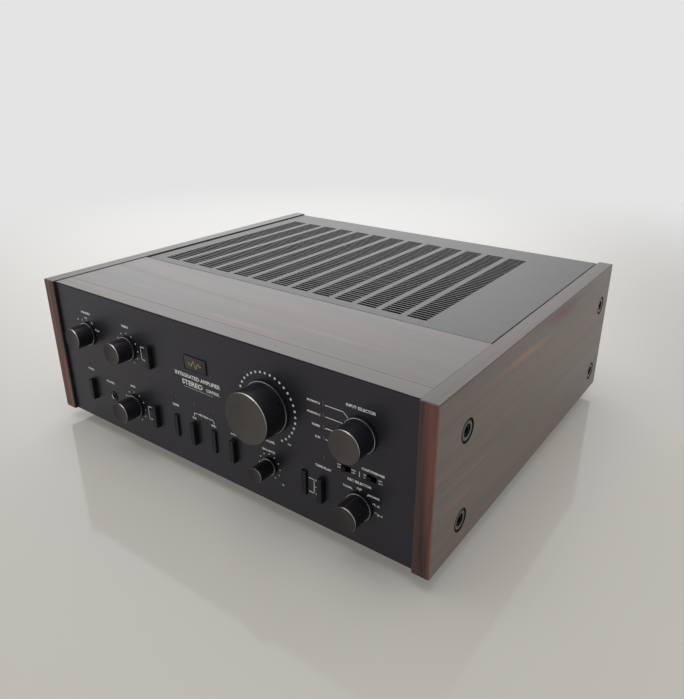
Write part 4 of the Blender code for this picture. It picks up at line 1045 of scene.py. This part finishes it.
def plate_and_block(bm, node):
    """The moulded flange of a connector block, and the block behind it inside the case."""
    low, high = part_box(node)
    inset = 4.3 * MM
    add_block(bm, (low.x, CONNECTOR_FACE, low.z), (high.x, CONNECTOR_FACE + FLANGE, high.z), 0.6 * MM, 3)
    add_block(bm, (low.x + inset, low.y, low.z + inset),
              (high.x - inset, CONNECTOR_FACE + 0.9 * MM, high.z - inset), 0.3 * MM, 1)


def across_plate(node, count):
    """The places across, in metres, of a connector block's columns."""
    low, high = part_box(node)
    pitch = (high.x - low.x - 2 * FLANGE_MARGIN) / count
    return [low.x + FLANGE_MARGIN + (column + 0.5) * pitch for column in range(count)]


def add_connectors(name, node, count, rows, add_one, finishes):
    """Rows of connectors on a plate with a screw at each end. A row has its place up from the middle and its
    finish, add_one(bm, at, reach, finish) builds one connector, and the screw's finishes come last."""
    def build(bm):
        plate_and_block(bm, node)
        low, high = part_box(node)
        face, middle = CONNECTOR_FACE + FLANGE, (low.z + high.z) / 2
        for x in across_plate(node, count):
            for row, finish in rows:
                add_one(bm, Vector((x, face, middle + row)), (high.y - face) / MM, finish)
        for x in (low.x + FLANGE_MARGIN / 2, high.x - FLANGE_MARGIN / 2):
            add_screw(bm, Matrix.Translation((x, face, middle)) @ PLATE_SCREW, len(finishes) - 2)

    piece(name, build, finishes, node)


def add_phono_socket(bm, at, reach, finish):
    """A plated barrel, a coloured insulator and a centre contact."""
    barrel = [(3.3, 0), (3.3, reach - 0.3), (3.6, reach), (3.9, reach), (4.2, reach - 0.4), (4.2, 1.2),
              (5.6, 1.0), (5.6, 0)]
    insulator = [(1.5, 0), (1.5, reach - 1.2), (3.25, reach - 1.2), (3.25, 0)]
    add_turned(bm, barrel, at, 40, closed=True, finish=1)
    add_turned(bm, insulator, at, 32, closed=True, finish=finish)
    add_turned(bm, [(0, 0.1), (1.45, 0.1), (1.45, 0), (0, 0)], at, 20, finish=1)


def add_post(bm, at, reach, finish):
    """A binding post with a ribbed cap."""
    cap = [(0, reach), (4.9, reach), (5.6, reach - 0.35), (6.0, reach - 1.0), (6.0, 4.6), (5.4, 4.0),
           (0, 4.0)]
    add_turned(bm, cap, at, 72, finish=finish, wobble=lambda i: 1.02 if i % 4 < 2 else 0.955)
    add_turned(bm, [(0, 4.2), (2.4, 4.2), (2.4, 0), (0, 0)], at, 24, finish=1)
    add_turned(bm, [(0, 1.6), (5.6, 1.6), (6.1, 1.2), (6.1, 0), (0, 0)], at, 48, finish=finish)


def add_sockets_and_posts():
    """Eight pairs of phono sockets, and two rows of binding posts."""
    add_connectors("phono_sockets", "input_jacks", PHONO_PAIRS, ((13 * MM, 2), (-13 * MM, 3)),
                   add_phono_socket, [MOULDING, NICKEL, WHITE_PLASTIC, RED_PLASTIC, BOLT_BLACK, MOULDING])
    add_connectors("speaker_posts", "speaker_terminals", POST_PAIRS, ((11 * MM, 2), (-11 * MM, 0)),
                   add_post, [MOULDING, NICKEL, RED_PLASTIC, BOLT_BLACK, MOULDING])


GROOVE = [(10.6, -0.6), (10.6, 1), (11.6, 1), (11.6, -0.6)]
BLADE_OUT, BLADE_HALF_WIDTH, BLADE_HALF_HEIGHT = 6.3 * MM, 1.1 * MM, 3.7 * MM


def add_outlets():
    """Three two-slot outlets, each with a ring groove and real slots."""
    low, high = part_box("ac_outlets")
    middle = (low.z + high.z) / 2
    made = piece("mains_outlets", lambda bm: plate_and_block(bm, "ac_outlets"), [MOULDING, NICKEL],
                 "ac_outlets")

    def grooves(bm):
        for x in across_plate("ac_outlets", OUTLETS):
            add_turned(bm, GROOVE, Vector((x, high.y, middle)), 64, closed=True)
            for side in (x - BLADE_OUT, x + BLADE_OUT):
                add_block(bm, (side - BLADE_HALF_WIDTH, high.y - 9 * MM, middle - BLADE_HALF_HEIGHT),
                          (side + BLADE_HALF_WIDTH, high.y + 1 * MM, middle + BLADE_HALF_HEIGHT))

    carve(made, grooves, overlapping=True)


def add_gland():
    """The cord bush: a flanged ring, open right through."""
    low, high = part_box("cord_gland")
    centre = middle_of("cord_gland")
    length = (high.y - low.y) / MM
    face = (CONNECTOR_FACE - low.y) / MM
    section = [(3.8, 0), (3.8, length - 0.8), (4.2, length), (4.9, length), (5.4, length - 0.5),
               (6.6, face + 3.2), (9.0, face + 2.2), (9.5, face + 1.8), (9.5, face), (6.5, face), (6.5, 0)]
    piece("cord_bush", lambda bm: add_turned(bm, section, closed=True), MOULDING, "cord_gland",
          at=(centre.x, low.y, centre.z))


PHONO_WORDS = ("AUX", "TUNER", "PHONO 1", "PHONO 2", "PLAY 1", "REC 1", "PLAY 2", "REC 2")


def add_rear_legends():
    """Generic function words over the connectors. They read from behind, so across runs the other way."""
    def locate(across, up, out=0.0):
        return on_rear(-across, up, out)

    def word(bm, words, x, half, up, height):
        add_words(bm, words, -x / MM - half, -x / MM + half, up, height, locate)

    def build(bm):
        for words, x in zip(PHONO_WORDS, reversed(across_plate("input_jacks", PHONO_PAIRS))):
            word(bm, words, x, min(5.6, 0.85 * len(words)), 125.5, 1.9)
        low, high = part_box("speaker_terminals")
        word(bm, "SPEAKERS A", (high.x * 3 + low.x) / 4, 12, 108, 2.4)
        word(bm, "SPEAKERS B", (high.x + low.x * 3) / 4, 12, 108, 2.4)
        word(bm, "AC OUTLETS", middle_of("ac_outlets").x, 14, 121, 2.4)
        word(bm, "AC IN", middle_of("cord_gland").x, 6, 44, 2.2)

    piece("rear_legend_words", build, INK)


UPRIGHT = Matrix(((1, 0, 0, 0), (0, 0, -1, 0), (0, 1, 0, 0), (0, 0, 0, 1)))
FOOT_PAD = [(0, 1.0), (18.6, 1.0), (19.4, 0.6), (19.4, 0.2), (19.0, 0.0), (0, 0.0)]


def add_feet():
    """Round feet with a ribbed skirt and a rubber pad."""
    for place in ("front_left", "front_right", "rear_left", "rear_right"):
        low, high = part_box(f"foot_{place}")
        centre = (low + high) / 2
        tall = (high.z - low.z) / MM
        skirt = [(0, tall), (24, tall), (24, tall - 2.2), (23.4, tall - 2.8), (22.0, 2.2), (21.0, 1.3),
                 (20.2, 1.0), (0, 1.0)]

        def build(bm):
            add_turned(bm, skirt, UPRIGHT, 96, wobble=lambda i: 1.0 if i % 4 < 2 else 0.992)
            add_turned(bm, FOOT_PAD, UPRIGHT, 72, finish=1)

        piece(f"foot_turned_{place}", build, [FOOT_PLASTIC, RUBBER], f"foot_{place}",
              at=(centre.x, centre.y, low.z))


# ---- carried-over CAD nodes
CAD_FINISHES = {
    "front_panel": PANEL_BLACK, "front_subchassis": ZINC_AND_SHADE, "left_frame": ZINC_AND_SHADE, "right_frame": ZINC_AND_SHADE,
    "bottom_plate": ZINC_AND_SHADE, "rear_panel": REAR_PAINT, "control_board": BOARD, "main_board": BOARD,
    "power_transformer": ENAMEL, "filter_capacitor_left": SLEEVE, "filter_capacitor_right": SLEEVE,
    "heat_sink": SINK,
}


def finish_cad_nodes():
    """Gives each CAD node that stays its own finish."""
    for node, finish in CAD_FINISHES.items():
        mesh = frame["nodes"][node].data
        mesh.materials.clear()
        mesh.materials.append(finish)


# ---- surroundings
FLOOR_HALF = 4.0
FADE = (0.50, 1.60)  # how far from the middle the table turns to the backdrop's white
TABLE_COLOUR = (0.390, 0.375, 0.347)
BACKDROP_COLOUR = (0.775, 0.775, 0.775)
BACKDROP_RADIUS = 7.0


def stage_piece(name, build, material):
    """A floor or backdrop, which isn't part of the object."""
    mesh = mesh_from(name, build)
    mesh.shade_smooth()
    mesh.materials.append(material)
    made = add_object(name, mesh)
    return made


def add_floor():
    """A pale glossy table top that turns to the backdrop's own white further out."""
    made = Finish("pale_floor", Base_Color=(*TABLE_COLOUR, 1.0), Roughness=0.08, IOR=1.45,
                  Specular_IOR_Level=0.28, Emission_Color=(*TABLE_COLOUR, 1.0), Emission_Strength=0.35)
    distance = made.node("ShaderNodeVectorMath", {0: made.place}, operation="LENGTH")
    far = made.span(distance.outputs["Value"], 0.0, 1.0, FADE, "SMOOTHSTEP")
    white = made.node("ShaderNodeEmission", {"Color": (*BACKDROP_COLOUR, 1.0)})
    blend = made.node("ShaderNodeMixShader", {0: far, 1: made.shader.outputs[0], 2: white.outputs[0]})
    made.feed(made.tree.nodes["Material Output"].inputs["Surface"], blend.outputs[0])
    stage_piece("floor", lambda bm: bmesh.ops.create_grid(
        bm, x_segments=8, y_segments=8, size=FLOOR_HALF), made.material)


def add_backdrop():
    """A plain white dome that only the camera sees, so that it neither lights nor shows in the gloss."""
    made = Finish("backdrop_white", Base_Color=(0.0, 0.0, 0.0, 1.0), Specular_IOR_Level=0.0,
                  Emission_Color=(*BACKDROP_COLOUR, 1.0), Emission_Strength=1.0)
    dome = stage_piece("backdrop", lambda bm: bmesh.ops.create_uvsphere(
        bm, u_segments=48, v_segments=24, radius=BACKDROP_RADIUS), made.material)
    dome.visible_diffuse = dome.visible_glossy = dome.visible_transmission = False
    dome.visible_shadow = dome.visible_volume_scatter = False


ROOM_LIGHT = 0.18
# Soft lights round the room: the direction, how squarely it begins and is full, and the strength. They are a
# bright far wall, a glare high on it, a low window at the left front and a light from the right.
GLOWS = [
    ((-0.45, 0.89, 0.0), 0.2, 0.9, 0.58), ((-0.58, 0.68, 0.46), 0.83, 0.97, 1.30),
    ((-0.70, -0.65, 0.10), 0.80, 0.95, 0.9), ((0.80, 0.40, 0.40), 0.45, 0.95, 0.60),
]


def light_room():
    """A white room with the soft lights of GLOWS added up."""
    world = bpy.data.worlds.new("room")
    bpy.context.scene.world = world
    world.use_nodes = True
    nodes = Nodes(world.node_tree, "Generated")
    total = None
    for direction, first, full, strength in GLOWS:
        toward = nodes.node("ShaderNodeVectorMath", {0: nodes.place, 1: Vector(direction).normalized()},
                            operation="DOT_PRODUCT").outputs["Value"]
        base = 0.0 if total else ROOM_LIGHT
        glow = nodes.span(toward, base, base + strength, (first, full), "SMOOTHSTEP")
        total = nodes.math("ADD", total, glow) if total else glow
    background = nodes.tree.nodes["Background"]
    nodes.feed(background.inputs["Color"], (0.985, 0.99, 1.0, 1.0))
    nodes.feed(background.inputs["Strength"], total)


CEILING_PLACE, CEILING_AIM = Vector((-0.15, -0.35, 2.0)), Vector((0, -0.1, 0.05))
CEILING_SIZE, CEILING_POWER = (1.8, 1.4), 24


def add_ceiling_light():
    """A broad light overhead, which the camera doesn't see."""
    data = bpy.data.lights.new("ceiling_light", "AREA")
    data.shape = "RECTANGLE"
    data.size, data.size_y = CEILING_SIZE
    data.energy = CEILING_POWER
    lamp = add_object("ceiling_light", data)
    lamp.location = CEILING_PLACE
    lamp.rotation_mode = "QUATERNION"
    lamp.rotation_quaternion = (CEILING_AIM - CEILING_PLACE).to_track_quat("-Z", "Y")
    lamp.visible_camera = False


def main():
    """The surroundings first, then each group of pieces."""
    add_camera()
    bpy.context.scene.view_settings.view_transform = "Standard"
    light_room()
    add_ceiling_light()
    add_floor()
    add_backdrop()
    finish_cad_nodes()
    for side in ("left", "right"):
        add_cheek(side)
        add_bolts(side)
    add_trim()
    add_cover()
    add_knobs()
    add_buttons()
    add_slides()
    add_phones()
    add_lamps()
    add_badge()
    add_legends()
    add_rear_screws()
    add_sockets_and_posts()
    add_outlets()
    add_gland()
    add_rear_legends()
    add_feet()


main()
